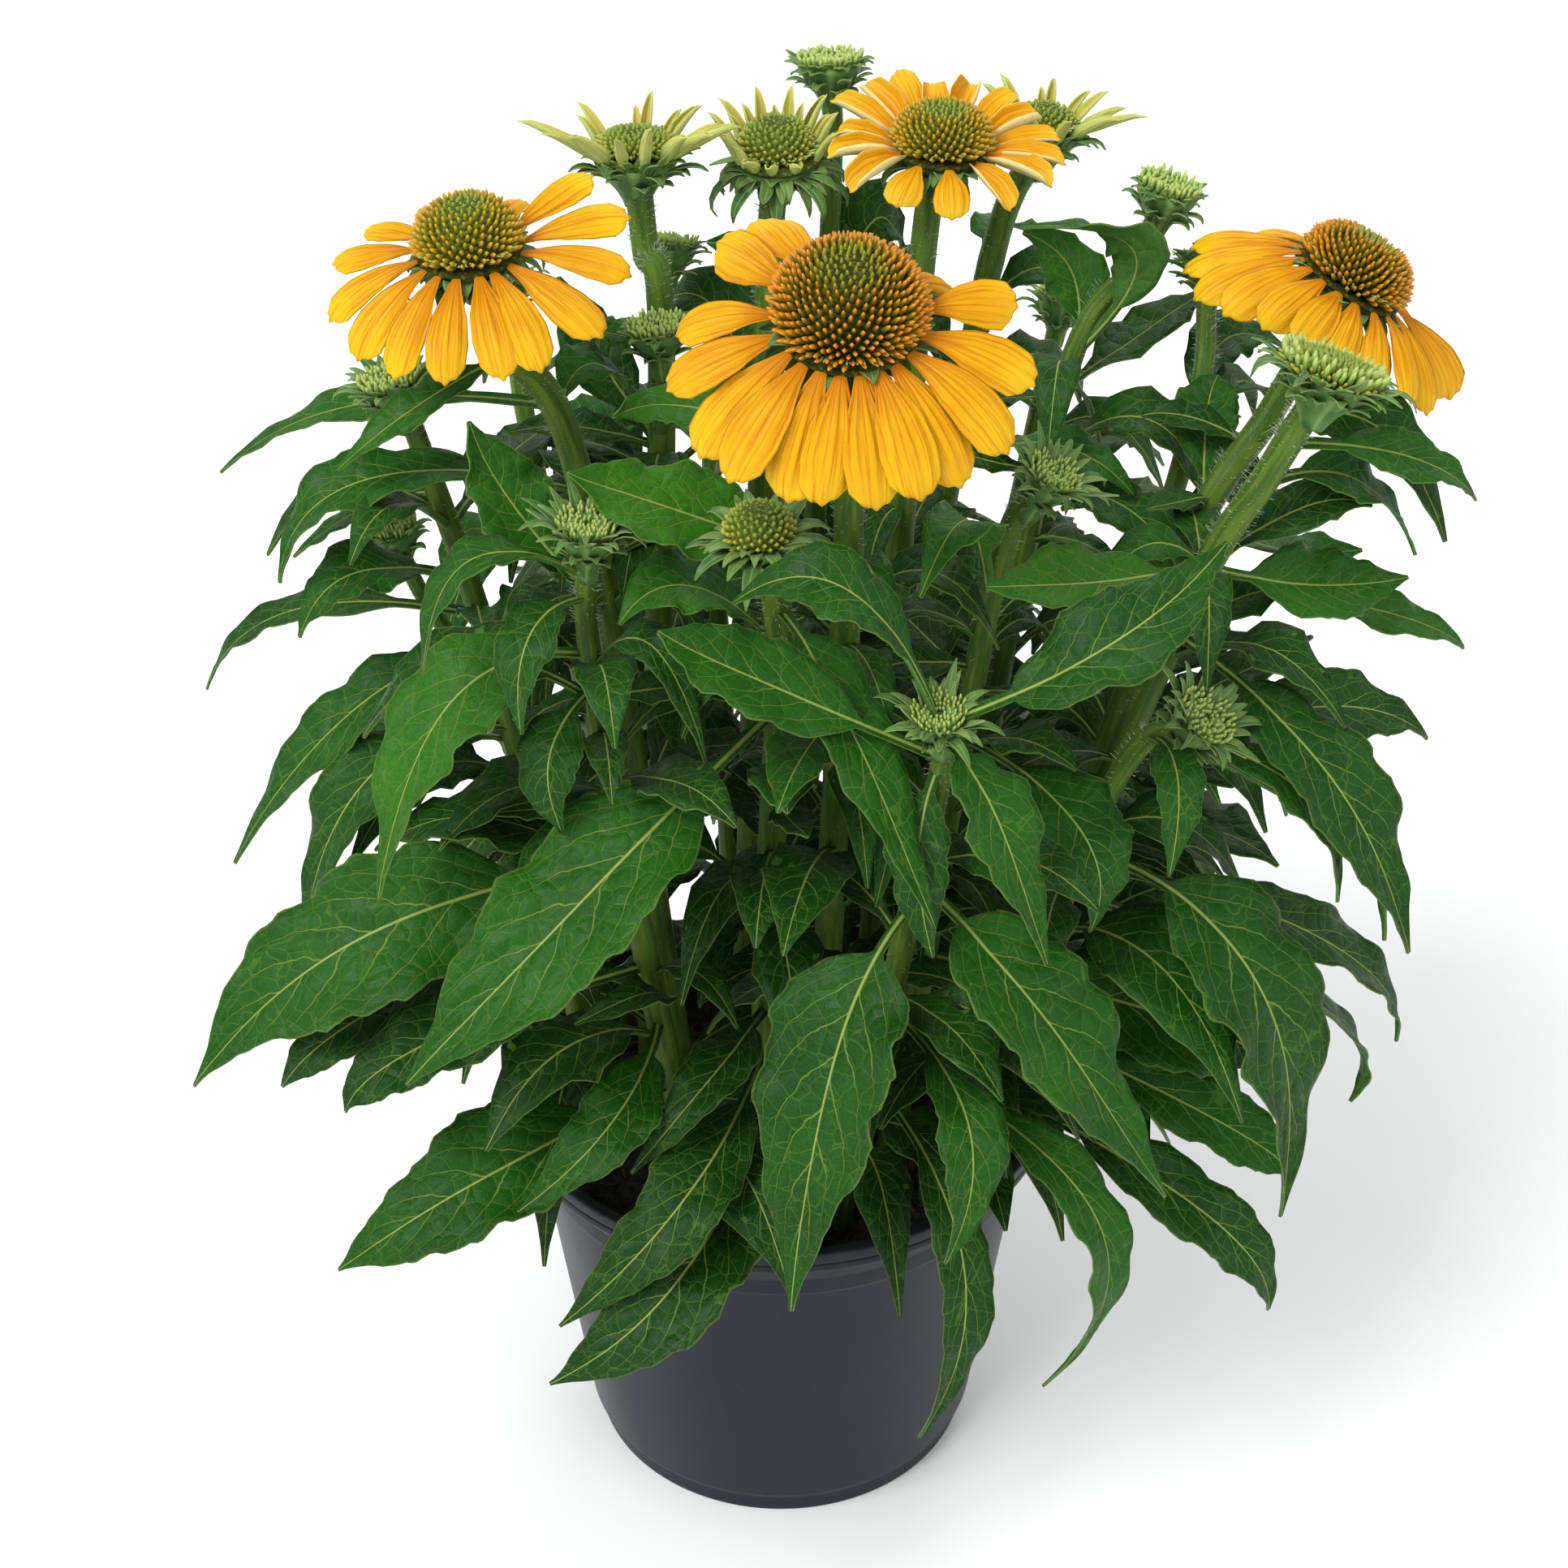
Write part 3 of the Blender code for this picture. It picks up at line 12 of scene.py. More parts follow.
import bpy
import numpy as np
from mathutils.bvhtree import BVHTree
from mathutils.kdtree import KDTree
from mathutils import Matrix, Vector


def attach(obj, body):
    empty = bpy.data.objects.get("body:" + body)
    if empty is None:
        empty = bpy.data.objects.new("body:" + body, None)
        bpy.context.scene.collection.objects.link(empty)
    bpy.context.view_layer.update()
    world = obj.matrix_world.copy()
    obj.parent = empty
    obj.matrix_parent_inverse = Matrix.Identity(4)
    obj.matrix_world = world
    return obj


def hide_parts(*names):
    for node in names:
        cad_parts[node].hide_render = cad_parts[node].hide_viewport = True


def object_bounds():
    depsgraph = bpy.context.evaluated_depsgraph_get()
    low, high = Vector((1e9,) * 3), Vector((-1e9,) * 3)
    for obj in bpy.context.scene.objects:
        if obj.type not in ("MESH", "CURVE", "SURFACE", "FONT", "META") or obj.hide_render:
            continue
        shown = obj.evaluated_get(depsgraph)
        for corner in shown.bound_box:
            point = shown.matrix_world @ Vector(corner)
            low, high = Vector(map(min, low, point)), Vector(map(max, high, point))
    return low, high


MM = 0.001
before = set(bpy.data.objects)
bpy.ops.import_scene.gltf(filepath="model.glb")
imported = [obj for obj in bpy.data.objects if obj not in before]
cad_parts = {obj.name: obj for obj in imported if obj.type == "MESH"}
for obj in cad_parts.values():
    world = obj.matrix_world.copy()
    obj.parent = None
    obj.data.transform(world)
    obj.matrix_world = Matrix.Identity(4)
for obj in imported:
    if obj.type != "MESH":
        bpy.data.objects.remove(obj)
cad_box = [list(corner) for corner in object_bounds()]
print("solids:", len(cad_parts), "box:", [[round(v, 3) for v in corner] for corner in cad_box])

# %% [markdown]
# The camera stands in front of the pot at the height of a table's viewer and looks down by about 32
# degrees, which is where the round rim and the round foot of the pot take the shape that they have
# in the picture. A long lens keeps the far rim nearly as wide as the near one.

# %% Camera
EYE, LOOKS_DOWN = (0.00104, -0.6444, 0.6416), 0.562     # metres, radians
LENS, SENSOR = 60.0, 36.0


def add_to_scene(name, data):
    """A new object that shows a camera, a lamp or a mesh."""
    made = bpy.data.objects.new(name, data)
    bpy.context.scene.collection.objects.link(made)
    return made


camera = add_to_scene("camera", bpy.data.cameras.new("camera"))
camera.data.lens, camera.data.sensor_width, camera.data.clip_start = LENS, SENSOR, 0.01
camera.location = EYE
camera.rotation_euler = (math.pi / 2 - LOOKS_DOWN, 0, 0)
bpy.context.scene.camera = camera
bpy.context.scene.view_settings.view_transform = "Standard"

# %% [markdown]
# Every finish is a small tree of shader nodes that works out a colour, a roughness and a height for
# each point. So that such a tree reads like the formula it is, the output of a node is wrapped as a
# value: adding or multiplying two of them adds the Math node that does it. A painter is a function
# that takes where a point lies and gives the three results, and new_finish makes a material from it.

# %% Helpers for shader nodes


class Value:
    """The output of a shader node. Sums, products and powers of values are Math nodes."""

    def __init__(self, socket):
        self.socket, self.tree = socket, socket.id_data

    def math(self, operation, *others):
        return node(self.tree, "Math", dict(enumerate((self, *others))), operation=operation)

    def __add__(self, other):
        return self.math("ADD", other)

    def __sub__(self, other):
        return self.math("SUBTRACT", other)

    def __rsub__(self, other):
        return node(self.tree, "Math", {0: other, 1: self}, operation="SUBTRACT")

    def __mul__(self, other):
        return self.math("MULTIPLY", other)

    def __truediv__(self, other):
        return self.math("DIVIDE", other)

    def __pow__(self, other):
        return self.math("POWER", other)

    def __abs__(self):
        return self.math("ABSOLUTE")

    def fade(self, low, high, to_low=0.0, to_high=1.0):
        """Carry a value that runs from low to high smoothly over to another range."""
        return node(self.tree, "MapRange", {0: self, 1: low, 2: high, 3: to_low, 4: to_high},
                    interpolation_type="SMOOTHSTEP")

    def siblings(self):
        """All outputs of the node that this value comes from."""
        return [Value(socket) for socket in self.socket.node.outputs]

    def split(self):
        """The three numbers of a vector."""
        return node(self.tree, "SeparateXYZ", {0: self}).siblings()


def fill(tree, made, inputs):
    """Fill the sockets of a node with values or with plain numbers."""
    for key, value in inputs.items():
        if isinstance(value, Value):
            tree.links.new(value.socket, made.inputs[key])
        else:
            made.inputs[key].default_value = value


def node(tree, kind, inputs, out=0, **settings):
    """Add a shader node, fill its sockets, and return one of its outputs."""
    made = tree.nodes.new("ShaderNode" + kind)
    for key, value in settings.items():
        setattr(made, key, value)
    fill(tree, made, inputs)
    return Value(made.outputs[out])


def mix(share, first, second):
    """Blend two colours, each a value or red, green and blue, by a share from 0 to 1."""
    first, second = (c if isinstance(c, Value) else (*c, 1.0) for c in (first, second))
    return node(share.tree, "Mix", {0: share, 6: first, 7: second}, out=2, data_type="RGBA")


def noise(where, scale, detail=2.0, out=0):
    return node(where.tree, "TexNoise", {"Vector": where, "Scale": scale, "Detail": detail}, out=out)


def cells(where, scale, feature="F1"):
    """How far a point is from the middle of its cell in a pattern of cells, or from its edge."""
    return node(where.tree, "TexVoronoi", {"Vector": where, "Scale": scale}, feature=feature)


def stretched(where, by):
    return node(where.tree, "VectorMath", {0: where, 1: by}, operation="MULTIPLY")


def mark(where, name):
    """The three numbers that a mesh carries at each point under a name: place or kind."""
    return node(where.tree, "Attribute", {}, out="Vector", attribute_name=name)


def new_finish(name, paint, *colours, **fixed):
    """A new material.

    paint takes where a point lies and the colours. It returns a colour, a roughness or None, and for
    a bump its height from 0 to 1, its depth in millimetres and its strength. Values that are the same
    all over go straight on the shader's sockets.
    """
    made = bpy.data.materials.new(name)
    made.use_nodes = True
    tree = made.node_tree
    shader = tree.nodes["Principled BSDF"]
    fill(tree, shader, {key.replace("_", " "): value for key, value in fixed.items()})
    painted, rough, *relief = paint(node(tree, "TexCoord", {}, out="Object"), *colours)
    fill(tree, shader, {"Base Color": painted})
    if rough:
        fill(tree, shader, {"Roughness": rough})
    if relief:
        height, depth, strength = relief
        bump = node(tree, "Bump", {"Height": height, "Distance": depth * MM, "Strength": strength})
        fill(tree, shader, {"Normal": bump})
    return made


# %% [markdown]
# A product picture of a plant is lit like a cloudy sky in a white room: one large soft lamp above and
# to the left, a weaker one to the right, and pale light from all round. The lamps are wide and stand
# far off, so that they light the floor evenly, give the leaves a soft sheen, and leave the inside of
# the bush dark. The sky is white where it meets the floor, which hides the floor's far edge.

# %% Floor and lamps
KEY_WATTS, FILL_WATTS, BACK_WATTS = 175.0, 22.0, 40.0
SKY_HIGH, SKY_LOW = (0.64, 0.65, 0.66), (1.0, 1.0, 1.0)
SKY_FADES = (0.04, 0.30)     # heights on a ball of radius 1 between which the sky turns darker
AIM_HEIGHT, FLOOR_HALF = 0.25, 20.0


def soft_lamp(name, place, size, watts):
    """A square lamp at a place, turned towards the middle of the plant."""
    lamp = bpy.data.lights.new(name, "AREA")
    lamp.size, lamp.energy = size, watts
    holder = add_to_scene(name, lamp)
    holder.location = place
    aim = holder.location.copy() * -1
    aim.z += AIM_HEIGHT
    holder.rotation_euler = aim.to_track_quat("-Z", "Y").to_euler()


def paint_floor(where):
    return mix(noise(where, 3.0), (0.93, 0.93, 0.93), (0.95, 0.95, 0.95)), None


soft_lamp("key", (-2.1, -2.2, 3.8), 2.2, KEY_WATTS)
soft_lamp("fill", (2.6, -2.0, 2.0), 2.4, FILL_WATTS)
soft_lamp("back", (0.8, 2.8, 3.0), 2.0, BACK_WATTS)
world = bpy.data.worlds.new("room")
world.use_nodes = True
sky = world.node_tree
up = node(sky, "TexCoord", {}, out="Generated").split()[2]
fill(sky, sky.nodes["Background"], {0: mix(up.fade(*SKY_FADES), SKY_LOW, SKY_HIGH)})
bpy.context.scene.world = world

floor_mesh = bpy.data.meshes.new("floor")
floor_corners = ((-1, -1), (1, -1), (1, 1), (-1, 1))
floor_mesh.from_pydata([(x * FLOOR_HALF, y * FLOOR_HALF, 0.0) for x, y in floor_corners], [],
                       [(0, 1, 2, 3)])
floor_mesh.materials.append(new_finish("white_floor", paint_floor, Roughness=0.8, Specular_IOR_Level=0.2))
floor = add_to_scene("floor", floor_mesh)

# %% [markdown]
# A coneflower's leaf has one thick pale rib. From it side veins leave at a slant, run forward, and
# bend along the edge until they meet the next one. Between them lies a net of fine veins. The
# pattern follows the leaf, so each leaf's mesh carries an attribute, place, with three numbers: where
# a point lies across the leaf (-1 to 1), where it lies along the blade (0 to 1), and how many
# millimetres it is from the rib. The group turns these into masks that any leaf finish may use.

# %% The vein pattern as a shader group
VEIN_PAIRS = 7.0
VEIN_SLANT, VEIN_HOOK = 0.26, 0.16
NET_CELLS, MESH_CELLS = 175.0, 640.0     # cells of the coarse and of the fine net to the metre


def vein_group():
    """Side veins are where (along - slant - hook) x pairs is whole, the rib is where the distance from
    the middle is less than its taper, and the nets are the edges of two patterns of cells."""
    tree = bpy.data.node_groups.new("leaf_veins", "ShaderNodeTree")
    for socket, kind in (("Place", "Vector"), ("Pairs", "Float"), ("Size", "Float")):
        tree.interface.new_socket(socket, in_out="INPUT", socket_type="NodeSocket" + kind)
    for socket in ("Rib", "Veins", "Net", "Height"):
        tree.interface.new_socket(socket, in_out="OUTPUT", socket_type="NodeSocketFloat")
    place, pairs, size = (Value(socket) for socket in tree.nodes.new("NodeGroupInput").outputs[:3])
    where = node(tree, "TexCoord", {}, out="Object")
    across, along, far = place.split()
    side = abs(across)
    wobble = (noise(where, 130.0) - 0.5) * 0.07
    start = along - (side * VEIN_SLANT + side**4.0 * VEIN_HOOK) + wobble
    phase = start * pairs + across.math("GREATER_THAN", 0.0) * 0.5
    off_vein = phase.math("PINGPONG", 0.5)
    veins = (off_vein / (0.054 - side * 0.030)).fade(0.35, 1.0, 1.0, 0.0)
    taper = (0.86 - along * 0.62) * (size * 0.50 + 0.42)
    rib = (abs(far) / taper).fade(0.40, 1.0, 1.0, 0.0)
    bend = (0.0015, 0.0015, 0.0015)
    bent = node(tree, "VectorMath", {0: noise(where, 90.0, out="Color"), 1: bend, 2: where},
                operation="MULTIPLY_ADD")
    coarse, small = (cells(bent, scale, "DISTANCE_TO_EDGE") for scale in (NET_CELLS, MESH_CELLS))
    net = coarse.fade(0.0, 0.042, 1.0, 0.0).math("MAXIMUM", small.fade(0.0, 0.1, 0.3, 0.0))
    sunk = (veins * 0.5 + net * 0.2).math("MAXIMUM", rib)
    height = coarse.fade(0.0, 0.30) * 0.5 + noise(where, 2600.0, 3.0) * 0.22 + 1.0 - sunk
    end = tree.nodes.new("NodeGroupOutput")
    fill(tree, end, {"Rib": rib, "Veins": veins, "Net": net, "Height": height})
    return tree


leaf_veins = vein_group()
print("vein group nodes:", len(leaf_veins.nodes))

# %% [markdown]
# A blade is deep green, and lighter where the plant is young. The rib and the side veins are pale
# yellow-green, the edge has a thin pale line, and the underside is paler. A second attribute, kind,
# tells each leaf's tint, which side of the blade a point is on, and how wide the leaf is. A leaf's tint
# is its own, and inside the bush it is also lowered as painted shade. Blotches of lighter and darker
# green keep a large leaf from looking like paper.

# %% Leaf finish
LEAF_DEEP, LEAF_MID, LEAF_LIGHT = (0.004, 0.038, 0.001), (0.009, 0.086, 0.002), (0.032, 0.155, 0.004)
LEAF_UNDER, LEAF_RIB = (0.060, 0.165, 0.028), (0.270, 0.360, 0.080)
LEAF_VEIN, LEAF_NET = (0.150, 0.255, 0.040), (0.100, 0.210, 0.022)


def paint_leaf(where):
    """Three greens by blotch and tint, then the paler underside, the nets, veins, rib and edge."""
    place = mark(where, "place")
    tint, under, size = mark(where, "kind").split()
    given = {"Place": place, "Pairs": VEIN_PAIRS, "Size": size}
    rib, veins, net, height = node(where.tree, "Group", given, node_tree=leaf_veins).siblings()
    level = noise(where, 45.0, 4.0) * 0.7 + tint * 0.75
    edge = abs(place.split()[0]).fade(0.955, 0.99)
    green = mix(level.fade(0.30, 0.85), LEAF_DEEP, LEAF_MID)
    for share, shade in ((level.fade(0.70, 1.25), LEAF_LIGHT), (under * 0.85, LEAF_UNDER),
                         (noise(where, 1100.0).fade(0.35, 0.75, 0.0, 0.35), LEAF_DEEP),
                         (net * 0.36, LEAF_NET), (veins * 0.72, LEAF_VEIN),
                         (rib * 0.86, LEAF_RIB), (edge * 0.25, LEAF_RIB)):
        green = mix(share, green, shade)
    return green, noise(where, 160.0, 3.0).fade(0.3, 0.7, 0.36, 0.56), height, 0.5, 0.9


leaf_blade = new_finish("leaf_blade", paint_leaf, Specular_IOR_Level=0.18, Sheen_Weight=0.01)

# %% [markdown]
# Stalks are round, pale green and streaked along their length. They carry red-brown specks and short
# white bristles. The streaks come from a noise that is drawn out along the stalk, so the stalk's mesh
# carries in place where round it a point lies, as a cosine and a sine, and how many millimetres up.

# %% Stalk, bract and bristle finishes


def paint_stalk(where, deep, light, speck):
    """Streaks of two greens along the stalk, and specks where a cell pattern is at its centre."""
    streak = noise(stretched(mark(where, "place"), (2.4, 0.05, 2.4)), 1.0, 3.0)
    green = mix(streak.fade(0.3, 0.7), deep, light)
    green = mix(noise(where, 60.0, 3.0).fade(0.35, 0.75, 0.0, 0.5), green, deep)
    some = noise(where, 220.0).math("GREATER_THAN", 0.5)
    green = mix(cells(where, 900.0).fade(0.12, 0.34, 0.75, 0.0) * some, green, speck)
    return green, streak.fade(0.3, 0.7, 0.45, 0.62), streak + noise(where, 1500.0), 0.25, 0.7


def paint_bract(where, deep, light, foot, line):
    """Green with a paler rib down the middle and pale edges, and a lighter base."""
    place = mark(where, "place")
    tint, _, pale = mark(where, "kind").split()
    side = abs(place.split()[0])
    lines = side.fade(0.0, 0.22, 1.0, 0.0).math("MAXIMUM", side.fade(0.75, 1.0))
    green = mix((noise(where, 260.0, 3.0) + tint * 0.5).fade(0.4, 1.0), deep, light)
    green = mix(pale * 0.8, green, foot)
    green = mix(lines * 0.45, green, line)
    fibres = noise(stretched(place, (9.0, 1.5, 0.0)), 1.0, 3.0)
    return green, fibres.fade(0.3, 0.7, 0.48, 0.64), fibres, 0.2, 0.6


def paint_bristle(where, dark, pale):
    return mix(noise(where, 200.0), dark, pale), None, noise(where, 3000.0), 0.05, 0.4


stalk_skin = new_finish("stalk_skin", paint_stalk, (0.034, 0.094, 0.007), (0.118, 0.200, 0.020),
                        (0.120, 0.045, 0.020), Specular_IOR_Level=0.22, Sheen_Weight=0.02)
bract_skin = new_finish("bract", paint_bract, (0.038, 0.110, 0.022), (0.110, 0.215, 0.050),
                        (0.300, 0.390, 0.110), (0.300, 0.440, 0.140),
                        Specular_IOR_Level=0.22, Sheen_Weight=0.02)
bristle_white = new_finish("bristle", paint_bristle, (0.50, 0.60, 0.42), (0.80, 0.85, 0.74), Roughness=0.45)

# %% [markdown]
# A ray is golden yellow, deeper orange where it leaves the cone and in the fine lines that run along
# it. The lines are a noise that is drawn out along the ray, read from the ray's own place attribute.
# Its underside is duller and a little green, or cream on the bloom at the back. Young rays are still
# rolled into quills, yellow-green and pale, and take the same finish with other colours.

# %% Ray finishes


def paint_ray(where, base, body, tip, line, underside):
    """Colours from base to tip, darker fine lines and stripes along the ray, and its own underside."""
    across, along, _ = mark(where, "place").split()
    tint, under, _ = mark(where, "kind").split()
    drawn = node(where.tree, "CombineXYZ", {0: across * 7.0, 1: along * 1.3, 2: tint * 30.0})
    fibre = noise(drawn, 1.0, 4.0)
    stripe = (across * 3.5 + fibre).math("PINGPONG", 0.5).fade(0.0, 0.16, 1.0, 0.0) * along.fade(0.98, 0.5)
    blend = mix(along.fade(0.0, 0.40), base, body)
    for share, shade in ((along.fade(0.45, 1.0), tip),
                         (fibre.fade(0.50, 0.68).math("MAXIMUM", stripe) * 0.6, line),
                         (noise(where, 110.0, 3.0).fade(0.35, 0.8, 0.0, 0.35), base),
                         (tint * 0.25, base), (under * 0.85, underside)):
        blend = mix(share, blend, shade)
    height = fibre + noise(where, 1800.0) * 0.3 - stripe * 0.5
    return blend, fibre.fade(0.3, 0.7, 0.42, 0.6), height, 0.25, 0.8


def ray_finish(name, translucent, *colours):
    return new_finish(name, paint_ray, *colours, Specular_IOR_Level=0.15, Subsurface_Weight=translucent,
                      Subsurface_Scale=1.5 * MM)


golden_ray = ray_finish("golden_ray", 0.08, (0.570, 0.195, 0.001), (0.710, 0.370, 0.002),
                        (0.790, 0.490, 0.008), (0.460, 0.120, 0.001), (0.420, 0.350, 0.035))
cream_ray = ray_finish("cream_ray", 0.08, (0.640, 0.260, 0.002), (0.730, 0.385, 0.004),
                       (0.780, 0.510, 0.025), (0.560, 0.180, 0.002), (0.830, 0.720, 0.330))
green_quill = ray_finish("green_quill", 0.10, (0.380, 0.460, 0.080), (0.660, 0.590, 0.130),
                         (0.680, 0.640, 0.180), (0.500, 0.440, 0.070), (0.480, 0.560, 0.160))

# %% [markdown]
# The cone is covered with stiff spines. Each is dark olive at its foot and glowing orange at its tip,
# and those round the top are still green. Place tells how far along a spine a point lies, and kind
# tells how near the spine stands to the top of the cone.

# %% Cone finishes


def paint_spine(where, foot, shaft, tip, young):
    """Colours from foot to tip. Further up the cone the tips are duller, and at its top all green."""
    _, along, _ = mark(where, "place").split()
    tint, young_share, up = mark(where, "kind").split()
    grain = noise(where, 700.0)
    blend = mix(along.fade(0.05, 0.45), foot, shaft)
    blend = mix((along + tint * 0.12 - up * 0.10).fade(0.52, 0.90), blend, tip)
    blend = mix(young_share, blend, young)
    blend = mix(grain.fade(0.45, 0.8, 0.0, 0.35), blend, shaft)
    return blend, grain.fade(0.3, 0.7, 0.32, 0.52), grain, 0.12, 0.5


def paint_dome(where, light, dark):
    """The floor between the spines, with tiny pale grains."""
    grains = cells(where, 900.0)
    return mix(grains.fade(0.1, 0.6), light, dark), grains.fade(0.1, 0.6, 0.5, 0.8), grains, 0.4, 0.8


orange_spine, olive_spine, green_spine, floret_green = (
    new_finish(name, paint_spine, *colours, Specular_IOR_Level=0.4) for name, *colours in (
        ("orange_spine", (0.050, 0.065, 0.003), (0.190, 0.145, 0.004), (0.690, 0.255, 0.005),
         (0.240, 0.290, 0.015)),
        ("olive_spine", (0.070, 0.085, 0.004), (0.250, 0.220, 0.008), (0.580, 0.330, 0.012),
         (0.260, 0.320, 0.030)),
        ("green_spine", (0.080, 0.120, 0.010), (0.230, 0.270, 0.025), (0.430, 0.420, 0.060),
         (0.240, 0.320, 0.040)),
        ("floret_green", (0.090, 0.180, 0.030), (0.210, 0.330, 0.065), (0.430, 0.540, 0.140),
         (0.200, 0.330, 0.070))))
cone_floor = new_finish("cone_floor", paint_dome, (0.100, 0.090, 0.008), (0.030, 0.034, 0.003),
                        Specular_IOR_Level=0.1)
green_floor = new_finish("green_floor", paint_dome, (0.160, 0.210, 0.030), (0.060, 0.085, 0.010),
                         Specular_IOR_Level=0.1)

# %% [markdown]
# The pot is dark slate plastic from a mould, satin, with a fine orange-peel skin, faint marks of the
# mould's polish round it, and a little dust towards the rim. The potting mix is nearly black peat
# with red-brown bits of bark and a few loose crumbs.

# %% Pot and soil finishes
SLATE_DARK, SLATE_PALE, DUST, SPECK = ((0.011, 0.015, 0.018), (0.016, 0.021, 0.025), (0.120, 0.110, 0.100),
                                       (0.100, 0.110, 0.125))


def paint_pot(where):
    """Clouds of two greys, dust that gathers under the rim, specks, and fine rings in the skin."""
    cloud = noise(where, 18.0, 5.0)
    dust = noise(where, 70.0, 6.0).fade(0.50, 0.75) * where.split()[2].fade(0.085, 0.125)
    slate = mix(cloud.fade(0.3, 0.7), SLATE_DARK, SLATE_PALE)
    slate = mix(dust * 0.22, slate, DUST)
    slate = mix(cells(where, 420.0).fade(0.03, 0.11, 0.35, 0.0), slate, SPECK)
    skin = noise(where, 1500.0) + noise(stretched(where, (4.0, 4.0, 260.0)), 1.0) * 0.6
    return slate, cloud.fade(0.3, 0.7, 0.34, 0.44) + dust * 0.3, skin, 0.06, 0.5


def paint_soil(where, deep, light, grain):
    """Clods of two browns, lighter and less rough where they stand up."""
    clods = noise(where, grain, 6.0)
    height = clods + noise(where, grain * 6, 3.0)
    return mix(clods.fade(0.35, 0.7), deep, light), clods.fade(0.3, 0.7, 0.95, 0.7), height, 0.8, 0.8


pot_slate = new_finish("pot_slate", paint_pot, Specular_IOR_Level=0.17)
peat = new_finish("peat", paint_soil, (0.006, 0.004, 0.003), (0.028, 0.018, 0.012), 300.0)
bark = new_finish("bark", paint_soil, (0.030, 0.012, 0.006), (0.110, 0.045, 0.020), 240.0)
print("finishes:", len(bpy.data.materials))

# %% [markdown]
# All shapes below are surfaces on a grid: rows along a leaf or up a stalk, columns across or round.
# A part holds its points, its faces and the two attributes that the finishes read. Two makers turn
# grids into closed skins: a slab, which is an upper and a lower sheet joined at their edges, and a
# roll, which is a stack of rings closed by a point at each end. A third makes hundreds of little
# spikes in one go. A closed skin whose volume comes out negative is inside out, so it is turned over.

# %% Makers of closed skins
TINY = 1e-12               # keeps a direction of no length from dividing by zero
made_faces = []


def unit(v):
    """Directions of length 1."""
    v = np.asarray(v, float)
    return v / np.maximum(np.linalg.norm(v, axis=-1, keepdims=True), TINY)


def turns(count):
    """Angles that divide a full turn evenly."""
    return 2 * np.pi * np.arange(count) / count


def faces_of(rows, cols, wrap=False):
    """Corner numbers of the squares of a rows-by-columns grid, one square a row."""
    i, j = np.meshgrid(np.arange(rows - 1), np.arange(cols if wrap else cols - 1), indexing="ij")
    k = (j + 1) % cols
    return np.stack([i * cols + j, i * cols + k, (i + 1) * cols + k, (i + 1) * cols + j], -1).reshape(-1, 4)


def part(points, quads, tris, place, kind, finish):
    """A closed skin with its attributes, turned over if its signed volume is negative."""
    points = np.asarray(points, float)
    quads = np.asarray(quads, int).reshape(-1, 4)
    tris = np.asarray(tris, int).reshape(-1, 3)
    split = np.vstack([tris, quads[:, :3], quads[:, [0, 2, 3]]])
    a, b, c = (points[split[:, k]] - points[0] for k in range(3))
    if np.einsum("ij,ij->", a, np.cross(b, c)) < 0:
        quads, tris = quads[:, ::-1], tris[:, ::-1]
    shape = (len(points), 3)
    return dict(points=points, quads=quads, tris=tris, finish=finish,
                place=np.broadcast_to(place, shape), kind=np.broadcast_to(kind, shape))


def slab(upper, lower, place, tint, pale, finish):
    """Two sheets on the same grid, joined all round. The lower one is marked as the underside."""
    rows, cols = upper.shape[:2]
    top = faces_of(rows, cols)
    under = rows * cols
    left, right = np.arange(rows) * cols, np.arange(rows) * cols + cols - 1
    first, last = np.arange(cols), np.arange(cols) + (rows - 1) * cols
    rim = [np.stack([e[:-1], e[1:], e[1:] + under, e[:-1] + under], -1)
           for e in (left, right[::-1], first[::-1], last)]
    kind = np.tile([tint, 0.0, pale], (2 * under, 1))
    kind[under:, 1] = 1.0
    points = np.vstack([upper.reshape(-1, 3), lower.reshape(-1, 3)])
    return part(points, np.vstack([top, top[:, ::-1] + under, *rim]), [],
                np.tile(place.reshape(-1, 3), (2, 1)), kind, finish)


def roll(rings, ends, place, kind, finish):
    """Rings of points, one row each, closed by a fan to a point below and a point above."""
    count, sides = rings.shape[:2]
    j = np.arange(sides)
    k = (j + 1) % sides
    low, high, top = count * sides, count * sides + 1, (count - 1) * sides
    fans = np.vstack([np.stack([k, j, np.full(sides, low)], -1),
                      np.stack([top + j, top + k, np.full(sides, high)], -1)])
    points = np.vstack([rings.reshape(-1, 3), ends])
    place = np.vstack([np.asarray(place).reshape(-1, 3), place[0, :1], place[-1, :1]])
    return part(points, faces_of(count, sides, wrap=True), fans, place, kind, finish)


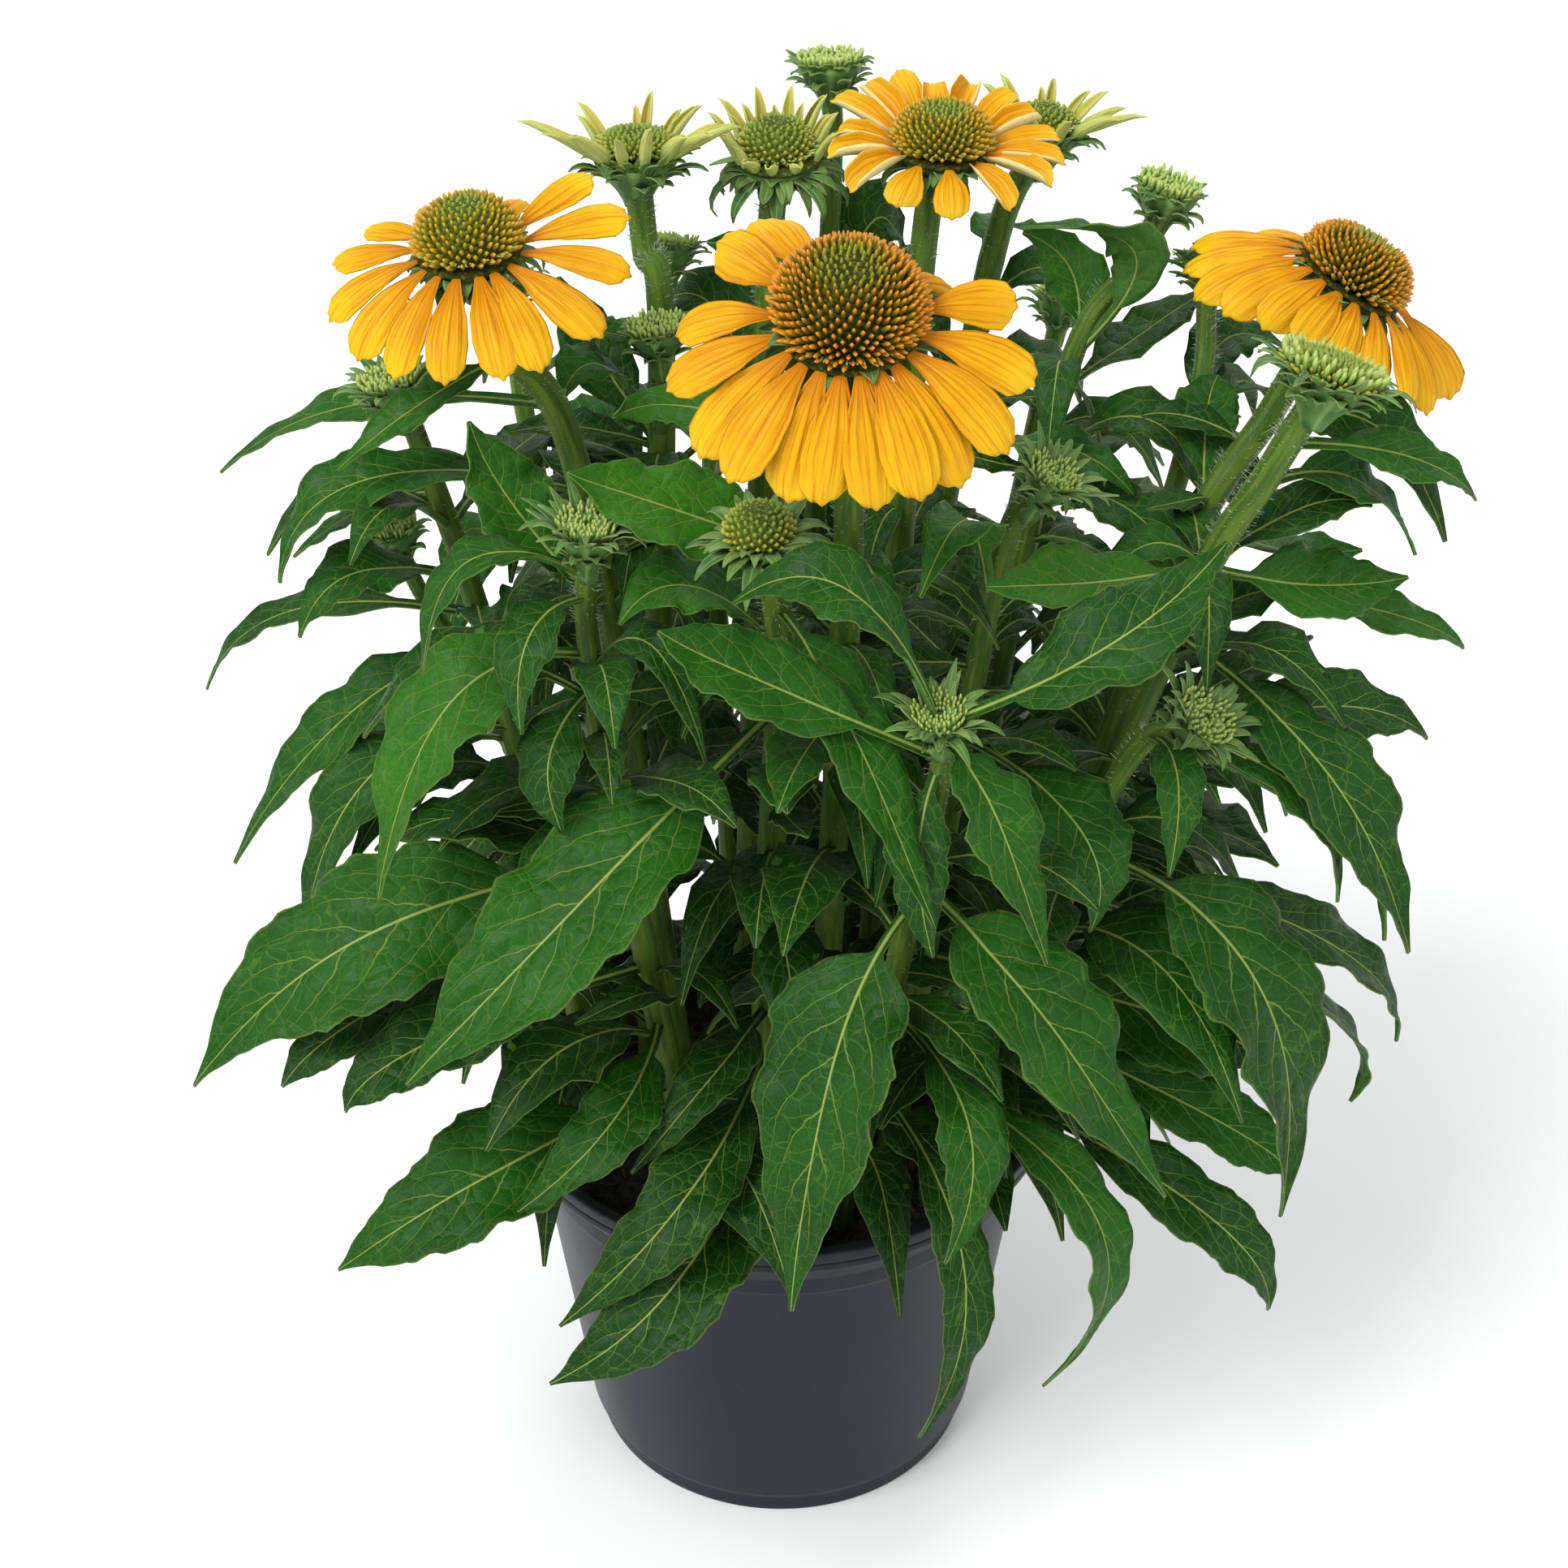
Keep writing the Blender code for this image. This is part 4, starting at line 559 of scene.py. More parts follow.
def spikes(roots, tips, widths, finish, sides=3, steps=(0.0, 1.0), shares=(1.0, 0.15),
           tint=0.0, young=0.0, up=0.0):
    """Many thin spikes at once, each from its root to its tip.

    steps are places along a spike and shares its thickness there. place's second number runs from 0
    at the root to 1 at the tip.
    """
    roots, tips = np.asarray(roots, float), np.asarray(tips, float)
    count, levels = len(roots), len(steps)
    run = unit(tips - roots)
    helper = np.where(np.abs(run[:, 2:]) < 0.9, (0.0, 0.0, 1.0), (1.0, 0.0, 0.0))
    side = unit(np.cross(run, helper))
    over = np.cross(run, side)
    turn = turns(sides)
    circle = side[:, None] * np.cos(turn)[:, None] + over[:, None] * np.sin(turn)[:, None]
    s = np.asarray(steps)[None, :, None]
    middle = roots[:, None] + (tips - roots)[:, None] * s
    thick = np.broadcast_to(np.asarray(widths, float).reshape(-1, 1), (count, 1)) / 2 * np.asarray(shares)
    rings = middle[:, :, None] + circle[:, None] * thick[..., None, None]
    points = rings.reshape(-1, 3)
    start = (np.arange(count) * levels * sides)[:, None, None]
    quads = (faces_of(levels, sides, wrap=True)[None] + start).reshape(-1, 4)
    ends = np.array([np.arange(sides)[::-1], np.arange(sides) + (levels - 1) * sides])
    caps = ends[None] + start
    tris = caps.reshape(-1, 3) if sides == 3 else []
    if sides == 4:
        quads = np.vstack([quads, caps.reshape(-1, 4)])
    along = np.broadcast_to(s[..., None], (count, levels, sides, 1)).reshape(-1, 1)
    place = np.hstack([np.zeros_like(along), along, np.zeros_like(along)])
    kind = np.stack([np.broadcast_to(value, count) for value in (tint, young, up)], -1)
    return part(points, quads, tris, place, np.repeat(kind, levels * sides, axis=0), finish)


def make_piece(name, parts, slot, *nodes):
    """Put parts into one smooth-shaded mesh, and let it stand for the named solids."""
    finishes = list(dict.fromkeys(p["finish"] for p in parts))
    starts = np.cumsum([0] + [len(p["points"]) for p in parts])
    quads, tris = (np.vstack([p[key] + s for p, s in zip(parts, starts)]) for key in ("quads", "tris"))
    worn = [np.full(len(p[key]), finishes.index(p["finish"])) for key in ("quads", "tris") for p in parts]
    corners = np.concatenate([quads.ravel(), tris.ravel()])
    sizes = np.concatenate([np.full(len(quads), 4), np.full(len(tris), 3)])
    points = np.concatenate([p["points"] for p in parts]) * MM
    mesh = bpy.data.meshes.new(name)
    mesh.vertices.add(len(points))
    mesh.vertices.foreach_set("co", points.astype(np.float32).ravel())
    mesh.loops.add(len(corners))
    mesh.loops.foreach_set("vertex_index", corners.astype(np.int32))
    mesh.polygons.add(len(sizes))
    mesh.polygons.foreach_set("loop_start", (np.cumsum(sizes) - sizes).astype(np.int32))
    mesh.polygons.foreach_set("material_index", np.concatenate(worn).astype(np.int32))
    mesh.update(calc_edges=True)
    for attribute in ("place", "kind"):
        values = np.concatenate([p[attribute] for p in parts]).astype(np.float32)
        mesh.attributes.new(attribute, "FLOAT_VECTOR", "POINT").data.foreach_set("vector", values.ravel())
    for finish in finishes:
        mesh.materials.append(finish)
    mesh.shade_smooth()
    piece = add_to_scene(name, mesh)
    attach(piece, "root")
    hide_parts(*nodes)
    made_faces.append(len(quads) * 2 + len(tris))
    return piece


# %% [markdown]
# The pot is one profile turned round the upright axis: a rolled rim with a double band, a faint step,
# a tapering wall, a drawn-in foot band, and the same way back up inside. Corners of the profile are
# rounded by cutting each one with a short parabola. Four drain holes are cut through the base.

# %% Pot
POT_HEIGHT, RIM_RADIUS, SHOULDER_RADIUS, FOOT_RADIUS = 130.0, 85.0, 77.6, 61.0
STEP_HEIGHT, LIP_HEIGHT, LIP_WIDTH, WALL, TOE_HEIGHT = 108.0, 7.0, 4.0, 1.8, 9.0
DRAIN_RADIUS, DRAIN_CIRCLE, DRAIN_HOLES = 5.0, 34.0, 4
POT_SIDES, CORNER_STEPS, WALL_STEPS, DRAIN_SIDES = 112, 5, 4, 32
SHARP = math.radians(50)     # edges that turn by more than this stay sharp


def rounded(corners):
    """Round each corner of (radius, height, rounding) with a parabola and divide the straights."""
    p = np.array([c[:2] for c in corners], float)
    size = np.array([c[2] for c in corners], float)[1:-1, None]
    before, after = unit(p[:-2] - p[1:-1]) * size, unit(p[2:] - p[1:-1]) * size
    t = np.linspace(0, 1, CORNER_STEPS)[None, :, None]
    start, end, middle = (p[1:-1] + before)[:, None], (p[1:-1] + after)[:, None], p[1:-1, None]
    arcs = (1 - t)**2 * start + 2 * t * (1 - t) * middle + t**2 * end
    line = [p[:1]]
    for arc in arcs:
        step = np.linspace(0, 1, WALL_STEPS)[1:-1, None]
        line += [line[-1][-1] + (arc[0] - line[-1][-1]) * step, arc]
    return np.vstack([*line, p[-1:]])


def add_pot():
    """The profile goes up the inside, over the rim and down the outside. Each row below is a radius,
    a height and how far its corner is rounded."""
    band = POT_HEIGHT - LIP_HEIGHT
    profile = rounded([
        (0.0, WALL, 0), (FOOT_RADIUS - WALL, WALL, 1.0), (FOOT_RADIUS + 0.8, TOE_HEIGHT, 1.0),
        (SHOULDER_RADIUS - 0.4 - WALL, STEP_HEIGHT, 1.0), (RIM_RADIUS - LIP_WIDTH, band, 0.6),
        (RIM_RADIUS - LIP_WIDTH + 0.5, POT_HEIGHT, 0.5), (RIM_RADIUS, POT_HEIGHT, 1.1),
        (RIM_RADIUS - 0.3, POT_HEIGHT - 4.0, 0.4), (RIM_RADIUS - 0.9, POT_HEIGHT - 4.5, 0.2),
        (RIM_RADIUS - 0.5, POT_HEIGHT - 5.0, 0.2), (RIM_RADIUS - 0.4, band, 0.5),
        (SHOULDER_RADIUS + 0.2, band - 1.6, 0.8), (SHOULDER_RADIUS - 0.4, STEP_HEIGHT, 0.3),
        (SHOULDER_RADIUS - 1.1, STEP_HEIGHT - 1.0, 0.4),
        (FOOT_RADIUS + WALL + 0.8, TOE_HEIGHT, 0.5), (FOOT_RADIUS + 0.6, TOE_HEIGHT - 2.6, 0.6),
        (FOOT_RADIUS, 0.0, 0.8), (0.0, 0.0, 0)])
    inner, turn = profile[1:-1], turns(POT_SIDES)
    ring = np.stack([np.cos(turn), np.sin(turn)], -1)
    level = np.broadcast_to(inner[:, 1, None, None], (len(inner), POT_SIDES, 1))
    rings = np.concatenate([inner[:, :1, None] * ring[None], level], -1)
    ends = [(0.0, 0.0, profile[0][1]), (0.0, 0.0, profile[-1][1])]
    shell = roll(rings, ends, np.zeros(rings.shape), (0, 0, 0), pot_slate)
    piece = make_piece("pot_shell", [shell], "pot_plastic", "pot")
    for hole in range(DRAIN_HOLES):
        angle = 2 * math.pi * (hole + 0.5) / DRAIN_HOLES
        bpy.ops.mesh.primitive_cylinder_add(
            vertices=DRAIN_SIDES, radius=DRAIN_RADIUS * MM, depth=3 * WALL * MM,
            location=(DRAIN_CIRCLE * MM * math.cos(angle), DRAIN_CIRCLE * MM * math.sin(angle), 0))
        drill = bpy.context.object
        cut = piece.modifiers.new("drain", "BOOLEAN")
        cut.operation, cut.object = "DIFFERENCE", drill
        bpy.context.view_layer.update()
        cut_mesh = bpy.data.meshes.new_from_object(
            piece.evaluated_get(bpy.context.evaluated_depsgraph_get()))
        piece.modifiers.clear()
        piece.data = cut_mesh
        bpy.data.objects.remove(drill, do_unlink=True)
    piece.data.set_sharp_from_angle(angle=SHARP)
    return piece


pot = add_pot()
print("pot faces:", len(pot.data.polygons))

# %% [markdown]
# The potting mix fills the pot to below the rim. Its top is a round grid whose height is a sum of
# waves in many directions, small clods on larger swells. Bits of bark and twigs lie on it, half sunk:
# squashed boxes with worn corners, each turned its own way. Loose crumbs of the mix lie among them.

# %% Potting mix
SOIL_TOP, SOIL_FOOT_RADIUS, GAP = 110.0, 58.4, 0.3
SOIL_SWELL, SWELLS, WAVES_PER_SIZE, SWELL_SEED = 3.52, (34.0, 13.0, 6.0, 3.2), 5, 4
SOIL_RINGS, SOIL_SPOKES = 56, 128
BARK_BITS, BARK_LENGTHS, BARK_WIDTHS = 420, (2.0, 7.5), (0.9, 2.8)
CRUMBS, CRUMB_LENGTH, CRUMB_WIDTHS = 60, 1.6, (0.7, 1.3)
WORN = (0.4, 1.0, 0.9, 0.3)     # thickness along a bit of bark or a crumb
rng = np.random.default_rng(12)


def waves(x, y, sizes, seed):
    """Sum of sine waves in random directions. Each size is a wavelength and gives its own height."""
    chance = np.random.default_rng(seed)
    total = np.zeros(np.shape(x))
    for size in np.repeat(sizes, WAVES_PER_SIZE):
        turn, start = chance.uniform(0, 2 * np.pi, 2)
        total = total + size * np.sin(2 * np.pi * (x * np.cos(turn) + y * np.sin(turn)) / size + start)
    return total / (WAVES_PER_SIZE * max(sizes))


def soil_radius(z):
    """The radius of the pot's inside at a height, less a gap all round."""
    low, high = FOOT_RADIUS + 0.8, SHOULDER_RADIUS - 0.4 - WALL
    return low + (high - low) * (z - TOE_HEIGHT) / (STEP_HEIGHT - TOE_HEIGHT) - 2 * GAP


def soil_height(x, y):
    return SOIL_TOP + SOIL_SWELL * waves(x, y, SWELLS, SWELL_SEED)


def add_soil():
    """The ground is a stack of rings, from the foot up its wall and inwards over its top."""
    turn = turns(SOIL_SPOKES)
    radii = np.linspace(1.0, soil_radius(SOIL_TOP), SOIL_RINGS)[::-1]
    x, y = radii[:, None] * np.cos(turn), radii[:, None] * np.sin(turn)
    top = np.stack([x, y, soil_height(x, y)], -1)
    wall = np.stack([np.stack([r * np.cos(turn), r * np.sin(turn), np.full(SOIL_SPOKES, z)], -1)
                     for r, z in ((SOIL_FOOT_RADIUS, WALL + GAP), (soil_radius(TOE_HEIGHT), TOE_HEIGHT))])
    rings = np.concatenate([wall, top])
    ends = [(0, 0, WALL + GAP), (0, 0, float(soil_height(0.0, 0.0)))]
    ground = roll(rings, ends, np.zeros(rings.shape), (0, 0, 0), peat)
    reach = (soil_radius(SOIL_TOP) - 3) * np.sqrt(rng.uniform(0, 1, BARK_BITS + CRUMBS))
    angle = rng.uniform(0, 2 * np.pi, len(reach))
    spot = np.stack([reach * np.cos(angle), reach * np.sin(angle)], -1)
    roots = np.hstack([spot, soil_height(spot[:, 0], spot[:, 1])[:, None]])
    heading = rng.uniform(0, 2 * np.pi, len(reach))
    long = rng.uniform(*BARK_LENGTHS, len(reach))[:, None]
    run = np.stack([np.cos(heading), np.sin(heading), rng.uniform(-0.1, 0.35, len(reach))], -1)
    bits = spikes(roots[:BARK_BITS], (roots + run * long)[:BARK_BITS], rng.uniform(*BARK_WIDTHS, BARK_BITS),
                  bark, sides=4, steps=(0.0, 0.2, 0.8, 1.0), shares=WORN)
    crumbs = spikes(roots[BARK_BITS:], (roots + run * CRUMB_LENGTH)[BARK_BITS:],
                    rng.uniform(*CRUMB_WIDTHS, CRUMBS), peat, sides=4, steps=(0.0, 0.3, 0.8, 1.0),
                    shares=WORN)
    return make_piece("potting_mix", [ground, bits, crumbs], "soil_dark", "soil")


soil = add_soil()
print("soil faces:", len(soil.data.polygons))

# %% [markdown]
# Each stem starts in the potting mix, stands upright for a few millimetres and then follows a smooth
# curve up to its head. The numbers below are the plant itself: where each stem passes, how each head
# leans and how large it is, and on which bearing each ray leaves it. The solids were made from the
# same numbers, so the finer plant grows exactly through them.

# %% Stems, branches, buds and heads
ROOT_DEPTH, COLLAR = 18.0, 4.0
ROOT_RADIUS, HEAD_STALK_RADIUS, BUD_STALK_RADIUS, BRANCH_RADIUS = 4.2, 3.7, 2.8, 2.3
COARSE, FINE = 4, 40        # steps of a stem in the solids, and here
BUD_LIFT = 0.6              # how much a bud turns from its stem's direction to the upright
STEMS = {               # where it leaves the mix, and the points it passes
    "front_bloom": [(12, -10), (17, -50, 325), (16, -77, 411)],
    "low_head": [(-6, -32), (-3, -36, 219), (0, -52, 310), (-5, -70, 352)],
    "left_bloom": [(-28, -8), (-51, -20, 334), (-69, -24, 383), (-77, -24, 407)],
    "left_opening": [(-42, 20), (-33, 30, 352), (-37, 38, 385), (-39, 42, 409)],
    "middle_opening": [(-12, 14), (-4, 44, 357), (-1, 53, 405)],
    "top_bud": [(2, 44), (14, 78, 371), (14, 84, 420)],
    "back_bloom": [(26, 12), (38, 40, 364), (44, 50, 408)],
    "rear_opening": [(26, 50), (58, 78, 348), (75, 86, 401)],
    "right_tall_bud": [(48, 30), (77, 34, 335), (97, 42, 378), (105, 42, 398)],
    "right_hidden_bud": [(62, 18), (112, 26, 320), (121, 56, 372)],
    "right_bloom": [(62, 0), (107, -6, 303), (133, 8, 350), (151, 15, 384)],
    "right_green": [(54, -20), (104, -34, 302), (125, -38, 354), (137, -39, 380)],
    "centre_bud": [(34, -18), (55, -44, 322), (67, -52, 357)],
    "low_right_bud": [(46, -38), (88, -58, 271), (107, -70, 298)],
    "low_front_bud": [(18, -46), (39, -84, 280), (39, -98, 315)],
    "near_left_bud": [(-26, -40), (-48, -54, 296), (-48, -60, 346)],
    "far_left_bud": [(-54, -12), (-77, -16, 274), (-95, -10, 346), (-101, -10, 364)],
    "rear_left": [(-38, 46), (-74, 92, 280), (-84, 112, 344)],
    "rear_middle": [(-14, 62), (-22, 118, 270), (-20, 140, 330)],
    "rear_right": [(42, 50), (76, 112, 270), (88, 132, 330)],
}
BRANCHES = {           # stem, height where it leaves, the points it passes
    "left_side_bud": ("left_opening", 350, [(-33, 52, 366), (-31, 58, 376)]),
    "left_low_side_bud": ("left_opening", 335, [(-31, 16, 352), (-33, 14, 369)]),
    "far_left_low_bud": ("far_left_bud", 270, [(-98, -2, 296), (-106, 0, 316)]),
}
BUDS = {               # radius, height of the crown, bracts, length of a bract
    "top_bud": (9.0, 4.0, 8, 8.0), "right_tall_bud": (8.5, 5.0, 7, 7.0),
    "right_hidden_bud": (8.0, 4.0, 7, 9.0), "centre_bud": (6.5, 5.0, 7, 12.0),
    "low_right_bud": (8.0, 5.0, 8, 13.0), "low_front_bud": (6.5, 5.0, 8, 12.0),
    "near_left_bud": (7.5, 6.0, 8, 13.0), "far_left_bud": (8.5, 5.0, 7, 10.0),
    "left_side_bud": (7.0, 4.0, 6, 8.0), "left_low_side_bud": (7.5, 4.0, 6, 8.0),
    "far_left_low_bud": (7.0, 4.0, 6, 8.0), "rear_left": (7.5, 5.0, 7, 10.0),
    "rear_middle": (8.0, 5.0, 7, 11.0), "rear_right": (7.5, 5.0, 7, 10.0),
}
HEADS = {              # lean to the right and to the front, cone radius and height, bracts
    "front_bloom": dict(lean=(0, 27), cone=(19.0, 17.0), bracts=8),
    "left_bloom": dict(lean=(-4, 10), cone=(14.5, 14.0), bracts=8),
    "back_bloom": dict(lean=(2, 6), cone=(14.5, 13.0), bracts=8),
    "right_bloom": dict(lean=(29, 4), cone=(16.5, 14.0), bracts=8),
    "left_opening": dict(lean=(0, 0), cone=(11.0, 7.0), bracts=8),
    "middle_opening": dict(lean=(0, 8), cone=(11.0, 11.0), bracts=10),
    "rear_opening": dict(lean=(6, 0), cone=(9.5, 8.0), bracts=8),
    "right_green": dict(lean=(17, -8), cone=(14.0, 7.0), bracts=10),
    "low_head": dict(lean=(-4, 10), cone=(9.5, 9.0), bracts=9),
}


def through(points, steps):
    """Points of a smooth curve through the given ones.

    Between two of them the curve is a Catmull-Rom cubic: it leaves each point in the direction
    from the one before to the one after. The steps are evenly numbered from end to end.
    """
    p = np.asarray(points, float)
    p = np.vstack([2 * p[0] - p[1], p, 2 * p[-1] - p[-2]])
    at = np.linspace(0, len(p) - 3, steps + 1)
    k = np.minimum(at.astype(int), len(p) - 4)
    t = (at - k)[:, None]
    a, b, c, d = p[k], p[k + 1], p[k + 2], p[k + 3]
    return 0.5 * (2 * b + (c - a) * t + (2 * a - 5 * b + 4 * c - d) * t**2
                  + (3 * b - a - 3 * c + d) * t**3)


def stem_curve(stem, steps):
    """A stem's curve, with one more point straight below it in the potting mix."""
    (x, y), *rest = STEMS[stem]
    return np.vstack([[(x, y, SOIL_TOP - ROOT_DEPTH)], through([(x, y, SOIL_TOP + COLLAR), *rest], steps)])


def stem_point(stem, height, steps):
    """The point of a stem's curve at a height, read between the curve's steps."""
    path = stem_curve(stem, steps)
    return np.array([np.interp(height, path[:, 2], path[:, axis]) for axis in range(3)])


def head_place(stem):
    """Seat, axis, and the right and front directions of the plane of a head or a bud."""
    if stem in BRANCHES:
        parent, height, points = BRANCHES[stem]
        path = through([stem_point(parent, height, COARSE), *points], 3)
    else:
        path = stem_curve(stem, COARSE)
    if stem in HEADS:
        right, front = (math.tan(math.radians(angle)) for angle in HEADS[stem]["lean"])
        axis = unit((right, -front, 1.0))
    else:
        axis = unit(unit(path[-1] - path[-2]) + (0, 0, BUD_LIFT))
    across = unit(np.cross((0, 1, 0), axis))
    return path[-1], axis, across, np.cross(across, axis)


print("stems:", len(STEMS), "branches:", len(BRANCHES), "buds:", len(BUDS), "heads:", len(HEADS))

# %% [markdown]
# A stalk is a tube round its curve. It is not quite round: five low ribs run up it, it swells a little
# at each knot where a leaf leaves, and it gets thinner upwards. White bristles stand out from it,
# slanting upwards, thickest near the top. A bristle is a three-sided spike, and a stem's few hundred
# bristles are worked out together as arrays.

# %% Stalks and bristles
STALK_SIDES, STALK_STEP, BRANCH_STEPS = 20, 5.0, 12
RIBS, RIB_DEPTH, FLUTES, FLUTE_DEPTH = 5, 0.035, 13, 0.012
KNOT_REACH, KNOT_SWELL = 5.0, 0.04
SUNK_STALK, SUNK_BRANCH = 4.0, 2.0     # how far a stalk ends inside its head's base
BRISTLES, BRANCH_BRISTLES, HEAD_SHARE, BUD_SHARE = 9000, 90, 1.4, 0.65
BRISTLE_LENGTHS, BRISTLE_WIDTHS, BRISTLE_RISE = (0.8, 2.3), (0.13, 0.2), (0, 0, 0.35)
draw = np.random.default_rng(21)


def tube_frame(path):
    """Two directions across a curve at each of its points."""
    run = unit(np.gradient(path, axis=0))
    side = unit(np.cross((0.0, 1.0, 0.0), run))
    return side, np.cross(run, side)


def stalk(path, radii, knots):
    """A ribbed tube. Its radius is the given one, times one plus a bell round each knot's height,
    times one plus two small cosines, of five ribs and thirteen flutes that slowly wind up it."""
    side, over = tube_frame(path)
    turn = turns(STALK_SIDES)
    height = path[:, 2:]
    swell = sum(np.exp(-((height - k) / KNOT_REACH)**2) for k in knots) if knots else 0.0
    radius = radii[:, None] * (1 + KNOT_SWELL * np.minimum(swell, 1.0))
    ribs, flutes = np.cos(RIBS * turn + height / 60), np.cos(FLUTES * turn - height / 23)
    radius = radius * (1 + RIB_DEPTH * ribs + FLUTE_DEPTH * flutes)
    ring = side[:, None] * np.cos(turn)[:, None] + over[:, None] * np.sin(turn)[:, None]
    rings = path[:, None] + ring * radius[..., None]
    marks = (np.cos(turn), height, np.sin(turn))
    place = np.stack([np.broadcast_to(value, radius.shape) for value in marks], -1)
    return roll(rings, [path[0], path[-1]], place, (0, 0, 0), stalk_skin)


def bristles(path, radii, count):
    """Bristles on a tube: rooted at random places, more of them towards its top, each pointing
    out and a little up."""
    where = 1 - draw.uniform(0, 1, count)**1.6 * 0.75
    at = where * (len(path) - 1)
    side, over = tube_frame(path)
    pick = [np.stack([np.interp(at, np.arange(len(path)), v[:, k]) for k in range(3)], -1)
            for v in (path, side, over)]
    radius = np.interp(at, np.arange(len(path)), radii)[:, None]
    turn = draw.uniform(0, 2 * np.pi, (count, 1))
    out = unit(pick[1] * np.cos(turn) + pick[2] * np.sin(turn))
    roots = pick[0] + out * radius * 0.97
    long = draw.uniform(*BRISTLE_LENGTHS, (count, 1))
    tips = roots + (out + BRISTLE_RISE + draw.normal(0, 0.18, (count, 3))) * long
    return spikes(roots, tips, draw.uniform(*BRISTLE_WIDTHS, count), bristle_white, shares=(1.0, 0.25))


def stem_stalks(stem, knots, seat, axis):
    """A stem's stalk with its bristles. It ends inside the green base of its head."""
    top = HEAD_STALK_RADIUS if stem in HEADS else BUD_STALK_RADIUS
    span = np.linalg.norm(stem_curve(stem, COARSE)[-1] - stem_curve(stem, COARSE)[1])
    path = stem_curve(stem, int(span / STALK_STEP))
    path[-1] = seat - axis * SUNK_STALK
    share = np.clip((path[:, 2] - path[0, 2]) / (path[-1, 2] - path[0, 2]), 0, 1)
    radii = ROOT_RADIUS + (top - ROOT_RADIUS) * share
    count = int(BRISTLES / len(STEMS) * (HEAD_SHARE if stem in HEADS else BUD_SHARE))
    return [stalk(path, radii, knots), bristles(path[2:], radii[2:], count)]


def branch_stalks(branch):
    """A side branch with its bristles. It is thicker where it leaves its stem."""
    parent, height, points = BRANCHES[branch]
    path = through([stem_point(parent, height, FINE), *points], BRANCH_STEPS)
    seat, axis, _, _ = head_place(branch)
    path[-1] = seat - axis * SUNK_BRANCH
    radii = BRANCH_RADIUS * (1 + 0.3 * smooth(-np.arange(len(path)), -5.0, 0.0))
    return [stalk(path, radii, []), bristles(path[3:], radii[3:], BRANCH_BRISTLES)]


# %% [markdown]
# A leaf is a long pointed blade on a short stalk. Its midrib is a parabola through three points:
# where it leaves the stem, its middle and its tip. The blade's edges rise over the midrib like the
# sides of a shallow boat and wave up and down. On top of that come the things that a solid of a few
# corners can't hold: the deep groove over the midrib and the ridge below it, a skin quilted by the
# side veins, a slightly toothed edge and faster ripples in it.

# %% Leaf shape
BLADE_HALF = 0.45          # half thickness of a leaf in the solids
PETIOLE_SHARE, PETIOLE_HALF, PETIOLE_END_HALF = 0.2, 1.7, 0.5
LANCE = (0.75, 1.35)
KEEL, WAVE, WAVES, WAVE_LAG = 0.16, 0.13, 2.6, 0.7 * math.pi
RIPPLE, RIPPLES, TEETH, TOOTH = 0.12, 5.3, 9.0, 0.045
SWAY, FLUTTER, SAG, TWIST = 0.07, 0.04, 0.5, 0.2
SKIN_HALF, QUILT, GROOVE, RIDGE, RIB_REACH = 0.24, 0.42, 0.55, 1.0, 1.1
SLIM = 0.94                # the finer edge lies a little inside the plain one
LEAF_CELL, INNER_CELL = 1.85, 3.8      # size of a square of a leaf's mesh, outside and inside the bush
ROWS, COLUMNS = (14, 90), (3, 14)      # fewest and most rows, and columns of half a leaf


def leaf_half_width(t, width):
    """Half width along a leaf: a slim stalk, then a lance that is widest at a third of the blade.
    The lance is s^a (1-s)^b over its own greatest value, with s running along the blade."""
    low, high = LANCE
    widest = low / (low + high)
    s = np.clip((t - PETIOLE_SHARE) / (1 - PETIOLE_SHARE), 0, 1)
    lance = s**low * (1 - s)**high / (widest**low * (1 - widest)**high)
    slim = PETIOLE_HALF + (PETIOLE_END_HALF - PETIOLE_HALF) * t
    return slim + (width / 2 - slim) * lance


def smooth(x, low, high):
    """0 below low, 1 above high, and s^2 (3 - 2s) between them."""
    s = np.clip((x - low) / (high - low), 0, 1)
    return s * s * (3 - 2 * s)


def midrib(base, via, tip, face, t):
    """Midrib, side direction and normal of a leaf. The midrib is the parabola that passes via at
    half its length. The side direction is level, or tilted by face degrees to the front."""
    bend = 2 * via - 0.5 * (base + tip)
    rib = (1 - t)**2 * base + 2 * t * (1 - t) * bend + t**2 * tip
    run = unit(2 * (1 - t) * (bend - base) + 2 * t * (tip - bend))
    bearing = (via - base) + (tip - base)
    bearing[2] = 0.0
    up = (0.0, -math.sin(math.radians(face)), math.cos(math.radians(face)))
    side = np.cross(unit(bearing), up)
    side = unit(side - run * (run @ side)[:, None])
    return rib, side, np.cross(side, run)


